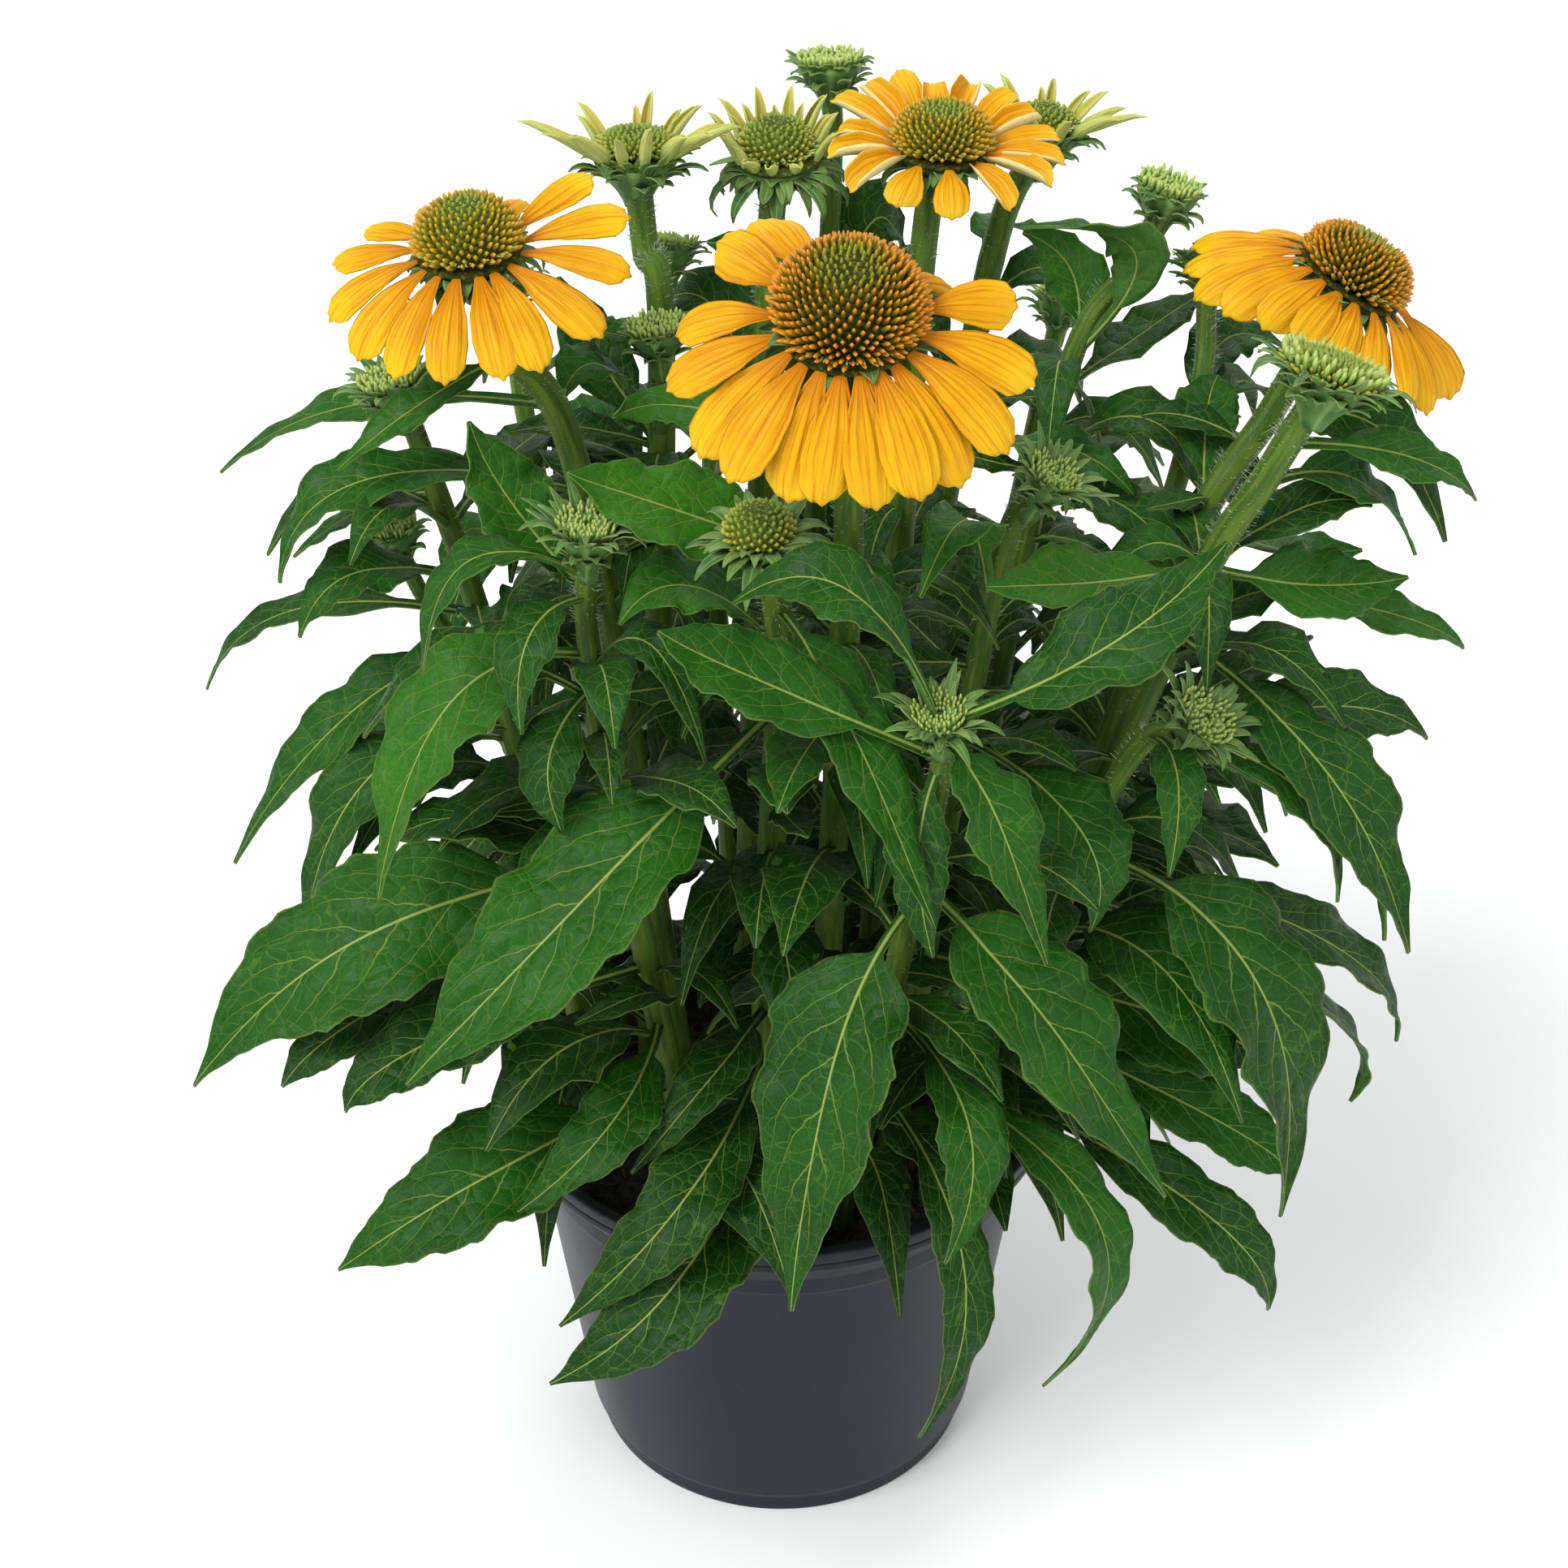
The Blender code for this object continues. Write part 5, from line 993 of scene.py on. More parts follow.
def leaf(base, via, tip, width, face, wave_start, tint, cell):
    """A blade on its stalk, as two sheets. Across it u runs from -1 to 1 and along it t from 0 to 1.

    Height over the midrib = half width x (keel |u|^1.5 + slow wave u^2 + fast ripple |u|^3)
    - quilt x cosine of the vein phase, which is whole on a side vein. The upper sheet sinks in a
    bell-shaped groove over the midrib and the lower one bulges out in a ridge below it.
    """
    length = np.linalg.norm(via - base) + np.linalg.norm(tip - via)
    rows = int(np.clip(length / cell, *ROWS))
    cols = 2 * int(np.clip(width / cell / 2, *COLUMNS)) + 1
    t = np.linspace(0, 1, rows)[:, None]
    u = np.linspace(-1, 1, cols)[None]
    u = np.sign(u) * np.abs(u)**1.2
    rib, side, normal = midrib(base, via, tip, face, t)
    s = (t - PETIOLE_SHARE) / (1 - PETIOLE_SHARE)
    half = leaf_half_width(t, width * SLIM)
    blade = smooth(s, 0.0, 0.18) * smooth(-s, -1.0, -0.86)
    turn = wave_start + WAVE_LAG * (u > 0)
    saw = 2 * np.pi * (TEETH * s + turn)
    tooth = 1 + TOOTH * blade * np.sin(saw - 0.7 * np.sin(saw)) * np.abs(u)**5
    sway = SWAY * np.sin(9 * s + 1.9 * turn) + FLUTTER * np.sin(23 * s - turn)
    tooth = tooth + blade * np.abs(u) * sway
    rise = KEEL * np.abs(u)**1.5 + WAVE * np.sin(2 * np.pi * WAVES * t + turn) * u**2
    rise = rise + RIPPLE * blade * np.sin(2 * np.pi * RIPPLES * t + 2.3 * turn) * np.abs(u)**3
    phase = (s - VEIN_SLANT * np.abs(u) - VEIN_HOOK * u**4) * VEIN_PAIRS + 0.5 * (u > 0)
    inside = smooth(np.abs(u), 0.04, 0.3) * (1 - u**6) * blade
    quilt = -QUILT * np.minimum(width / 30, 1.2) * np.cos(2 * np.pi * phase) * inside
    sag = SAG * np.sin(7 * s + 2 * u + wave_start) * blade * width / 40
    twist = TWIST * np.sin(wave_start * 3) * (t - 0.3) * u
    lift = half * (rise + twist) + quilt + sag
    far = half * u
    bell = np.exp(-(far / RIB_REACH)**2) * (1.05 - 0.7 * np.clip(s, 0, 1))
    neck = (1 - smooth(s, 0.0, 0.2)) * np.sqrt(1 - np.minimum(u**2, 1)) * 1.2
    points = rib[:, None] + side[:, None] * (far * tooth)[..., None] + normal[:, None] * lift[..., None]
    above = SKIN_HALF - GROOVE * bell * blade
    below = SKIN_HALF + np.maximum(RIDGE * bell * smooth(s, -0.1, 0.1), neck)
    place = np.stack([np.broadcast_to(u, far.shape), np.broadcast_to(s, far.shape), far], -1)
    return slab(points + normal[:, None] * above[..., None], points - normal[:, None] * below[..., None],
                place, tint, min(width / 40, 1.1), leaf_blade)


# %% [markdown]
# The table tells for every leaf on which stem it grows, at what height, through what points its
# midrib runs, how wide it is and how far it turns its face to the front. When the solids were made,
# some leaves had to turn or lift a little to clear a neighbour. The finer leaf has to follow, so the
# turn that each one took is found again: the solid's tip has two corners, one just over the tip and
# one just under it, and only the right turn puts the tip halfway between two corners of the solid.

# %% Leaf table and the turn that each leaf took
TIP_MISS = 0.03            # how far off a tip's corners may be
LEAVES = [                 # stem, height, midrib's middle, tip, width, degrees turned to the front
    ("left_bloom", 380, (-91, -34, 371), (-112, -42, 356), 13, 30),
    ("left_bloom", 365, (-115, 8, 352), (-155, 14, 329), 14, 30),
    ("left_bloom", 340, (-107, -32, 349), (-130, -42, 324), 20, 20),
    ("far_left_bud", 335, (-113, -2, 326), (-134, -2, 311), 13, 30),
    ("far_left_bud", 310, (-111, -34, 323), (-126, -44, 309), 20, 25),
    ("far_left_bud", 300, (-138, 6, 290), (-166, 10, 262), 12, 30),
    ("near_left_bud", 330, (-68, -52, 354), (-78, -50, 378), 24, 50),
    ("near_left_bud", 335, (-76, -74, 347), (-88, -84, 321), 14, 10),
    ("near_left_bud", 328, (-62, -80, 329), (-64, -90, 307), 17, 20),
    ("far_left_bud", 290, (-117, -34, 280), (-152, -40, 235), 21, 30),
    ("near_left_bud", 310, (-84, -72, 305), (-104, -88, 255), 31, 30),
    ("far_left_bud", 265, (-111, -48, 268), (-132, -58, 217), 22, 30),
    ("near_left_bud", 240, (-112, -70, 236), (-163, -72, 190), 44, 40),
    ("far_left_bud", 195, (-110, -72, 209), (-136, -84, 191), 24, 35),
    ("near_left_bud", 205, (-94, -86, 208), (-117, -96, 192), 24, 35),
    ("low_head", 290, (-52, -92, 257), (-97, -112, 214), 42, 30),
    ("near_left_bud", 160, (-82, -88, 162), (-124, -96, 135), 36, 35),
    ("near_left_bud", 185, (-45, -86, 182), (-72, -100, 160), 23, 30),
    ("low_head", 180, (-18, -74, 191), (-41, -92, 173), 18, 20),
    ("low_head", 165, (-25, -98, 165), (-61, -112, 129), 26, 30),
    ("low_head", 150, (-25, -104, 144), (-64, -118, 113), 35, 30),
    ("low_front_bud", 245, (14, -104, 215), (3, -122, 144), 42, 0),
    ("low_front_bud", 255, (66, -104, 233), (103, -112, 176), 40, 20),
    ("low_head", 325, (16, -84, 309), (39, -108, 261), 22, 10),
    ("low_front_bud", 315, (16, -104, 355), (-11, -96, 347), 20, 40),
    ("low_front_bud", 300, (-6, -84, 319), (-29, -84, 330), 24, 40),
    ("low_front_bud", 310, (52, -112, 298), (66, -122, 260), 22, 10),
    ("centre_bud", 275, (77, -84, 275), (80, -94, 250), 26, 20),
    ("low_front_bud", 300, (35, -96, 276), (39, -104, 249), 18, 0),
    ("low_front_bud", 205, (50, -108, 196), (44, -124, 163), 20, 0),
    ("low_front_bud", 175, (50, -112, 151), (39, -122, 96), 17, 0),
    ("low_front_bud", 315, (78, -104, 340), (107, -84, 357), 25, 40),
    ("right_green", 325, (76, -70, 339), (50, -84, 345), 22, 40),
    ("right_green", 305, (142, -74, 284), (166, -84, 236), 28, 30),
    ("right_green", 325, (144, -24, 314), (170, -16, 312), 23, 45),
    ("right_bloom", 305, (164, -6, 297), (194, 4, 279), 14, 30),
    ("low_right_bud", 285, (149, -34, 282), (179, -26, 267), 22, 35),
    ("right_green", 362, (162, -34, 356), (181, -30, 342), 15, 40),
    ("right_green", 350, (151, -24, 345), (170, -20, 321), 16, 40),
    ("low_right_bud", 290, (100, -88, 293), (99, -94, 267), 14, 10),
    ("low_right_bud", 290, (133, -74, 288), (146, -82, 264), 14, 30),
    ("low_right_bud", 290, (149, -52, 255), (167, -56, 220), 13, 10),
    ("low_right_bud", 250, (127, -84, 226), (139, -94, 153), 40, 30),
    ("low_right_bud", 245, (156, -40, 208), (180, -38, 171), 22, 30),
    ("centre_bud", 195, (112, -56, 193), (134, -62, 182), 33, 40),
    ("low_right_bud", 235, (160, -26, 175), (173, -24, 137), 15, 30),
    ("low_right_bud", 185, (123, -70, 168), (144, -78, 154), 22, 35),
    ("low_front_bud", 185, (86, -104, 162), (75, -106, 100), 20, 10),
    ("low_right_bud", 160, (118, -88, 150), (139, -94, 118), 22, 30),
    ("right_tall_bud", 355, (96, 30, 387), (64, 24, 396), 17, 30),
    ("right_tall_bud", 355, (82, 52, 372), (68, 58, 382), 20, 40),
    ("right_hidden_bud", 330, (128, 62, 348), (151, 66, 341), 18, 30),
    ("right_bloom", 325, (117, 16, 345), (122, 32, 350), 20, 30),
    ("rear_opening", 305, (90, 26, 336), (115, 14, 329), 16, 30),
    ("right_tall_bud", 315, (96, -4, 336), (113, -14, 322), 19, 30),
    ("right_green", 335, (142, -2, 313), (162, 6, 309), 18, 30),
    ("centre_bud", 320, (46, -66, 354), (34, -84, 342), 19, 20),
    ("left_opening", 360, (-42, 22, 369), (-57, 18, 377), 14, 30),
    ("left_opening", 335, (-49, 12, 362), (-59, 0, 355), 20, 30),
    ("front_bloom", 370, (-21, -30, 368), (-42, -36, 368), 18, 30),
    ("front_bloom", 335, (-24, -64, 352), (-50, -72, 364), 26, 40),
    ("low_head", 310, (-23, -60, 333), (-40, -72, 328), 22, 30),
    ("near_left_bud", 300, (-59, -74, 291), (-56, -80, 271), 19, 10),
    ("near_left_bud", 190, (-37, -60, 205), (-57, -68, 200), 15, 20),
    ("far_left_bud", 150, (-63, -54, 178), (-78, -68, 175), 23, 35),
    ("rear_opening", 365, (65, 96, 371), (88, 112, 356), 16, 0),
]
# stem, height of the first pair, pairs, bearing of the first
REAR_LEAVES = [("rear_left", 165, 3, 120), ("rear_middle", 145, 4, 95), ("rear_right", 170, 3, 70)]
REAR_KNOT_STEP, REAR_KNOT_TURN = 46.0, 78
REAR_LENGTHS, REAR_WIDTHS = (104, -13), (38, -4.4)     # of the first pair, and the change to the next
REAR_REACHES, REAR_RISES, REAR_FALLS = (0.5, 0.92), (0.12, 0.22), (0.12, 0.42)
REAR_SEED, LEAF_SEED, BRACT_SEED, INNER_SEED = 11, 3, 7, 5
BEND_TURNS = (0, 5, -5, 10, -10, 16, -16, 23, -23, 31, -31, 40, -40, 52, -52, 66, -66)
BEND_LIFTS = (0, 6, -6, 13, -13, 21, -21)


def spray(base, az, length, reaches, lifts):
    """Middle and tip of a leaf on a bearing: how far out and how high, as shares of its length."""
    out = np.array([math.cos(az), math.sin(az), 0.0])
    return [base + out * length * reach + (0, 0, length * lift) for reach, lift in zip(reaches, lifts)]


def rear_leaf_table():
    """Leaves of the far side: crossing pairs up each stem, shorter and smaller to the top."""
    chance = random.Random(REAR_SEED)
    rows = []
    for stem, first, pairs, bearing in REAR_LEAVES:
        for pair in range(pairs):
            height = first + pair * REAR_KNOT_STEP
            base = stem_point(stem, height, COARSE)
            for twin in range(2):
                az = math.radians(bearing + REAR_KNOT_TURN * pair + 180 * twin + chance.uniform(-15, 15))
                length = (REAR_LENGTHS[0] + REAR_LENGTHS[1] * pair) * chance.uniform(0.88, 1.1)
                lifts = (chance.uniform(*REAR_RISES), -chance.uniform(*REAR_FALLS))
                via, tip = spray(base, az, length, REAR_REACHES, lifts)
                width = (REAR_WIDTHS[0] + REAR_WIDTHS[1] * pair) * chance.uniform(0.9, 1.1)
                rows.append((stem, height, via, tip, width, 0))
    return rows


def bend_leaf(base, via, tip, turn, lift):
    """Turn a leaf about the upright line through its base and lift its tip."""
    c, s = math.cos(math.radians(turn)), math.sin(math.radians(turn))
    spin = np.array([[c, -s, 0], [s, c, 0], [0, 0, 1]])
    return base + spin @ (via - base) + (0, 0, lift * 0.5), base + spin @ (tip - base) + (0, 0, lift)


def corner_tree(name):
    """A search tree over the corners of a solid, in millimetres."""
    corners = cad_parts[name].data.vertices
    found = KDTree(len(corners))
    for k, corner in enumerate(corners):
        found.insert(corner.co / MM, k)
    found.balance()
    return found


def bend_taken(base, via, tip, corners):
    """The bend for which the tip has two corners of the solid at half a blade's thickness."""
    for turn in BEND_TURNS:
        for lift in BEND_LIFTS:
            moved = bend_leaf(base, via, tip, turn, lift)
            near = [distance for _, _, distance in corners.find_n(moved[1], 2)]
            if max(abs(distance - BLADE_HALF) for distance in near) < TIP_MISS:
                return moved
    return None


def found_leaves():
    """Leaves as they stand in the solids: stem, height, base on the smooth stem, middle, tip,
    width, face and the start of the waves along the edge."""
    chance = random.Random(LEAF_SEED)
    corners = {stem: corner_tree("stem_" + stem) for stem in STEMS}
    leaves = []
    for stem, height, via, tip, width, face in LEAVES + rear_leaf_table():
        wave_start = chance.uniform(0, 2 * math.pi)
        base = stem_point(stem, height, COARSE)
        moved = bend_taken(base, np.array(via, float), np.array(tip, float), corners[stem])
        if moved:
            leaves.append((stem, height, stem_point(stem, height, FINE), *moved, width, face, wave_start))
    return leaves


leaves = found_leaves()
print("leaves found in the solids:", len(leaves), "of", len(LEAVES) + len(rear_leaf_table()))

# %% [markdown]
# Inside the bush, smaller leaves fill the room between the stems and hide most of the stalks. They
# follow a rule: pairs up each stem, on bearings that cross, kept only where they meet neither a solid
# nor a leaf that was placed before. A plain sheet of a few squares is enough for that test. A few
# broad leaves that the photo shows high between the rear stalks are placed before the rest.

# %% Leaves inside the bush
INNER_TRIES, INNER_LOW, INNER_HIGH, INNER_ROOM = 21, 135.0, 350.0, 4.0
INNER_LENGTHS, INNER_WIDTHS, INNER_FACES = (36, 84), (0.26, 0.38), (0, 35)
INNER_REACHES, INNER_RISES, INNER_FALLS = (0.48, 0.88), (0.1, 0.35), (-0.35, 0.3)
SHEET_ROWS = 6
HIGH_LEAVES = [
    ("top_bud", 340, (27, 84, 376), (38, 88, 358), 27, 60),
    ("top_bud", 352, (5, 90, 380), (-6, 96, 368), 22, 60),
    ("middle_opening", 340, (-19, 64, 374), (-31, 80, 392), 22, 50),
    ("middle_opening", 325, (-19, 58, 360), (-38, 70, 352), 22, 50),
    ("top_bud", 325, (-4, 98, 352), (-22, 104, 362), 24, 50),
    ("top_bud", 330, (33, 92, 350), (44, 104, 362), 24, 50),
    ("left_opening", 330, (-52, 44, 352), (-62, 50, 372), 20, 50),
]


def sheet_of(base, via, tip, width, face):
    """The outer three quarters of a leaf as six rows of three points, for the test alone."""
    t = np.linspace(0.25, 1, SHEET_ROWS)[:, None]
    rib, side, _ = midrib(base, via, tip, face, t)
    half = leaf_half_width(t, width)
    points = rib[:, None] + side[:, None] * (half * np.array([-1.0, 0, 1]))[..., None]
    return points.reshape(-1, 3), faces_of(SHEET_ROWS, 3)


def tree_of(sheets):
    """One search tree over the faces of several sheets."""
    starts = np.cumsum([0] + [len(points) for points, _ in sheets])
    points = np.vstack([points for points, _ in sheets])
    faces = np.vstack([f + s for (_, f), s in zip(sheets, starts)])
    return BVHTree.FromPolygons(points.tolist(), faces.tolist())


def solid_trees():
    """A search tree over each solid of the frame, in millimetres."""
    trees = []
    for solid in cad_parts.values():
        points = np.array([v.co for v in solid.data.vertices]) / MM
        faces = [tuple(p.vertices) for p in solid.data.polygons]
        trees.append(BVHTree.FromPolygons(points.tolist(), faces))
    return trees


def clear_of(sheet, solids, sheets):
    """True where a sheet meets neither a solid nor an earlier sheet."""
    probe = tree_of([sheet])
    if any(probe.overlap(solid) for solid in solids):
        return False
    return not (sheets and probe.overlap(tree_of(sheets)))


def inner_leaves(seed):
    """The high leaves, then pairs of small leaves at random heights of every stem. The higher on the
    plant, the smaller."""
    chance = np.random.default_rng(seed)
    solids, kept, sheets = solid_trees(), [], []
    for stem, height, via, tip, width, face in HIGH_LEAVES:
        base, via, tip = stem_point(stem, height, FINE), np.array(via, float), np.array(tip, float)
        sheet = sheet_of(base, via, tip, width, face)
        if clear_of(sheet, solids, sheets):
            sheets.append(sheet)
            kept.append((stem, height, base, via, tip, width, face, 1.3 * len(kept)))
    print("high leaves:", len(kept), "of", len(HIGH_LEAVES))
    low, high = (np.array(corner) / MM + room for corner, room in zip(cad_box, (INNER_ROOM, -INNER_ROOM)))
    for stem in STEMS:
        top = min(STEMS[stem][-1][2] - 30, INNER_HIGH)
        for _ in range(INNER_TRIES):
            height, bearing = chance.uniform(INNER_LOW, top), chance.uniform(0, 2 * np.pi)
            base = stem_point(stem, height, FINE)
            for twin in range(2):
                az = bearing + np.pi * twin + chance.normal(0, 0.3)
                length = chance.uniform(*INNER_LENGTHS) * (1.15 - 0.35 * (height - INNER_LOW) / 210)
                lifts = (chance.uniform(*INNER_RISES), chance.uniform(*INNER_FALLS))
                via, tip = spray(base, az, length, INNER_REACHES, lifts)
                width, face = length * chance.uniform(*INNER_WIDTHS), chance.uniform(*INNER_FACES)
                sheet = sheet_of(base, via, tip, width, face)
                within = np.all(sheet[0] >= low) and np.all(sheet[0] <= high)
                if within and clear_of(sheet, solids, sheets):
                    sheets.append(sheet)
                    kept.append((stem, height, base, via, tip, width, face, chance.uniform(0, 6.28)))
    return kept


inside = inner_leaves(INNER_SEED)
print("leaves inside the bush:", len(inside))

# %% [markdown]
# Under each head sits a green base that widens like a trumpet from the stalk. Narrow pointed bracts
# ring its edge in three rows, and two rows of small ones lie on the base itself. They droop under an
# open head and spread round a green bud. A bud is closed by a crown of blunt young florets round a
# sunken middle. The draws for the first row come in the same order as in the solids, so that these
# bracts end at the same tips.

# %% Bases, bracts and buds
BASE_SHARE, CUP_SHARE, BRACT_REACH = 0.8, 1.04, 10.0
BRACT_DROOP, BRACT_SPREAD, BUD_SLOPE = -0.7, -0.1, 0.25
OWN_SLOPES = {"left_opening": 0.15, "middle_opening": -0.95, "rear_opening": -0.2}
QUILLED = ("left_opening", "middle_opening", "rear_opening")     # heads whose rays are still rolled up
RIM_SLOPES = {"left_opening": 1.1, "middle_opening": -0.5, "rear_opening": 0.7, "right_green": 0.2,
              "low_head": 0.3}
LONG_BRACTS = ("right_green", "low_head", "middle_opening")
BRACT_HALF_SKIN, BRACT_STEPS, BRACT_COLUMNS, BRACT_WIDTH, BRACT_CUP = 0.2, 6, 5, 4.8, 0.3
# Rows of bracts: how far inside the edge, how high, share of the width, how pale the foot is, and
# between which values the droop, the tint and the curl are drawn.
FIRST_ROW = (1.0, 0.0, 1.0, 0.0, (0.4, 1.6), (0.0, 0.7), (-0.6, 1.8))
SECOND_ROW = (1.0, 0.9, 0.9, 0.2, (0.2, 1.6), (0.2, 0.8), (-1.0, 1.4))
THIRD_ROW = (0.8, 1.8, 0.75, 0.35, (0.0, 0.8), (0.3, 1.0), (-0.4, 1.6))
LOWER_ROWS = (0.3, 0.0, 1.0, 0.15, (0.1, 0.9), (0.0, 0.8), (0.2, 2.0))
# Rings of florets: how far out it stands, how far it leans out, and how many florets it has.
BUD_RINGS = ((0.90, 0.30, 30), (0.75, 0.12, 26), (0.59, 0.0, 22), (0.43, -0.1, 16), (0.26, -0.15, 9))


def turned(place, shape, sides, finish, lobes=0.0):
    """A skin turned round a head's axis from (radius, height) points, with faint lobes."""
    seat, axis, across, front = place
    turn = turns(sides)
    flat = np.cos(turn)[:, None] * across + np.sin(turn)[:, None] * front
    shape = np.asarray(shape, float)
    radius = shape[1:-1, :1] * (1 + lobes * np.cos(turn * round(sides / 3)))
    rings = seat + flat * radius[..., None] + axis * shape[1:-1, 1][:, None, None]
    ends = [seat + axis * shape[0, 1], seat + axis * shape[-1, 1]]
    marks = (np.cos(turn), shape[1:-1, 1:], np.sin(turn))
    spot = np.stack([np.broadcast_to(value, radius.shape) for value in marks], -1)
    return roll(rings, ends, spot, (0.4, 0, 0), finish)


def strip_path(angle, step):
    """How far out and how far up a strip reaches whose slope is given at even steps."""
    return [np.concatenate([[0], np.cumsum(part_of(angle[:-1]) * step)]) for part_of in (np.cos, np.sin)]


def bract(place, azimuth, radius, height, length, width, slope, row):
    """A small pointed blade that leaves the base on its azimuth. Its slope, the given one halfway,
    falls evenly by the droop from foot to tip, and by curl x t^3 at its very end.
    Half width = width/2 (1 - t^2) (0.75 + 0.55 t)."""
    inset, raised, narrowed, pale, *drawn = row
    droop, tint, curl = (draw.uniform(*between) for between in drawn)
    radius, height, width = radius - inset, height + raised, width * narrowed
    seat, axis, across, front = place
    out = math.cos(azimuth) * across + math.sin(azimuth) * front
    side = np.cross(out, axis)
    t = np.linspace(0, 1, BRACT_STEPS + 1)
    angle = slope + droop * 0.5 - droop * t - curl * t**3
    reach, rise = (way[:, None] for way in strip_path(angle, length / BRACT_STEPS))
    normal = axis * np.cos(angle)[:, None] - out * np.sin(angle)[:, None]
    u = np.linspace(-1, 1, BRACT_COLUMNS)
    half = width / 2 * np.maximum((1 - t**2) * (0.75 + 0.55 * t), 0.06)[:, None]
    cup = BRACT_CUP * half * u**2
    mid = seat + out * (radius + reach) + axis * (height + rise)
    points = mid[:, None] + side * (half * u)[..., None] + normal[:, None] * cup[..., None]
    place_of = np.stack(np.broadcast_arrays(u, t[:, None], 0.0), -1)
    skin = normal[:, None] * BRACT_HALF_SKIN
    return slab(points + skin, points - skin, place_of, tint, pale, bract_skin)


def bract_rows(place, radius, height, count, length, slope, chance, wide, rim):
    """Three rows of bracts. The first row's lengths and slopes are drawn as in the solids, and the
    third leaves the rim at a slope of its own."""
    made = []
    for k in range(count):
        azimuth = 2 * math.pi * (2 * k + 1) / (2 * count)
        long, angle = length * chance.uniform(0.8, 1.15), slope + chance.uniform(-0.3, 0.3)
        made.append(bract(place, azimuth, radius, height, long + 1.5, wide, angle + 0.25, FIRST_ROW))
        between = azimuth + math.pi / count + draw.normal(0, 0.12)
        made.append(bract(place, between, radius, height, long * draw.uniform(0.65, 0.95), wide,
                          angle + draw.uniform(0.1, 0.8), SECOND_ROW))
        for step in (0.25, 0.75):
            turn = azimuth + 2 * math.pi * step / count + draw.normal(0, 0.1)
            made.append(bract(place, turn, radius, height, long * draw.uniform(0.5, 0.8), wide,
                              rim + draw.uniform(-0.3, 0.3), THIRD_ROW))
    return made


def lower_bracts(place, radius, foot, count):
    """Two rows of small bracts on the flared base, rooted where it has 0.6 and 0.85 of its width.
    They hug the base and curl away from it at their tips."""
    made = []
    for share, height, shift in ((0.60, 0.62, 0.0), (0.85, 0.30, 0.5)):
        for k in range(count):
            azimuth = 2 * math.pi * (k + shift) / count + draw.normal(0, 0.12)
            made.append(bract(place, azimuth, radius * share, -foot * height, radius * 0.66, radius * 0.46,
                              draw.uniform(0.1, 0.65), LOWER_ROWS))
    return made


def knobs(place, ring, radius, height, count, length, width, lean, finish, tint, blunt=0.35):
    """A ring of blunt florets that stand on a head and lean in (below zero) or out."""
    seat, axis, across, front = place
    turn = 2 * np.pi * (np.arange(count) + 0.5 * ring) / count + draw.normal(0, 0.05, count)
    out = np.cos(turn)[:, None] * across + np.sin(turn)[:, None] * front
    roots = seat + out * radius + axis * height
    long = length * draw.uniform(0.8, 1.15, (count, 1))
    tips = roots + unit(axis + out * (lean + draw.normal(0, 0.08, (count, 1)))) * long
    return spikes(roots, tips, width, finish, sides=4, steps=(0.0, 0.35, 0.75, 1.0),
                  shares=(0.75, 1.0, 0.6 + 0.8 * blunt, blunt), tint=tint)


def bud_parts(name, chance):
    """A closed green head: flared base, its rows of bracts, and a crown of florets."""
    radius, crown, bracts, reach = BUDS[name]
    place = head_place(name)
    shape = [(0, -12.5), (2.6, -12.2), (2.9, -10.0), (radius * 0.43, -7.4), (radius * 0.60, -4.6),
             (radius * 0.80, -2.2), (radius * 0.96, 0.0), (radius, 1.2), (radius * 0.92, 2.2),
             (radius * 0.8, crown * 0.62), (radius * 0.6, crown * 0.8), (radius * 0.38, crown * 0.75),
             (radius * 0.2, crown * 0.55), (0, crown * 0.5)]
    parts = [turned(place, shape, 30, bract_skin, 0.02)]
    reach = reach * (0.75 if reach < 9 else 1.0)
    parts += bract_rows(place, radius * 0.95, -0.6, bracts, reach, BUD_SLOPE, chance, radius * 0.52, 0.6)
    parts += lower_bracts(place, radius, 9.0, bracts)
    for ring, (share, lean, count) in enumerate(BUD_RINGS):
        parts.append(knobs(place, ring, radius * share, crown * 0.45, count, 3.7 - 0.3 * ring,
                           radius * 0.14, lean, floret_green, tint=0.6 - 0.15 * ring, blunt=0.4))
    return parts


def base_parts(stem, chance):
    """The green base of an open head and its bracts."""
    head = HEADS[stem]
    radius = head["cone"][0] * (CUP_SHARE if stem in QUILLED else BASE_SHARE)
    place = head_place(stem)
    shape = [(0, -13.5), (3.4, -13.2), (4.0, -11.5), (radius * 0.5, -8.4), (radius * 0.72, -5.4),
             (radius * 0.92, -2.6), (radius, -0.6), (radius * 0.9, -0.3), (0, -0.3)]
    slope = OWN_SLOPES.get(stem, BRACT_DROOP if stem in RAYS else BRACT_SPREAD)
    rim = RIM_SLOPES.get(stem, -0.5)
    reach = BRACT_REACH * (1.35 if stem in LONG_BRACTS else 1.0)
    parts = [turned(place, shape, 36, bract_skin, 0.015)]
    parts += bract_rows(place, radius * 0.95, -3.2, head["bracts"], reach, slope, chance, BRACT_WIDTH, rim)
    return parts + lower_bracts(place, radius, 11.0, head["bracts"])


# %% [markdown]
# Rays are the golden petals. Each leaves the ring under the cone on its own bearing, starts at an
# angle over the plane of the head and bends down towards its tip, which ends in three low teeth.
# Grooves run along it, and its edges hang a little. In the newest heads the rays are still rolled
# lengthwise into quills. So one formula serves them all: across a ray the surface is an arc, and the
# arc's half angle says how far the ray is rolled up.

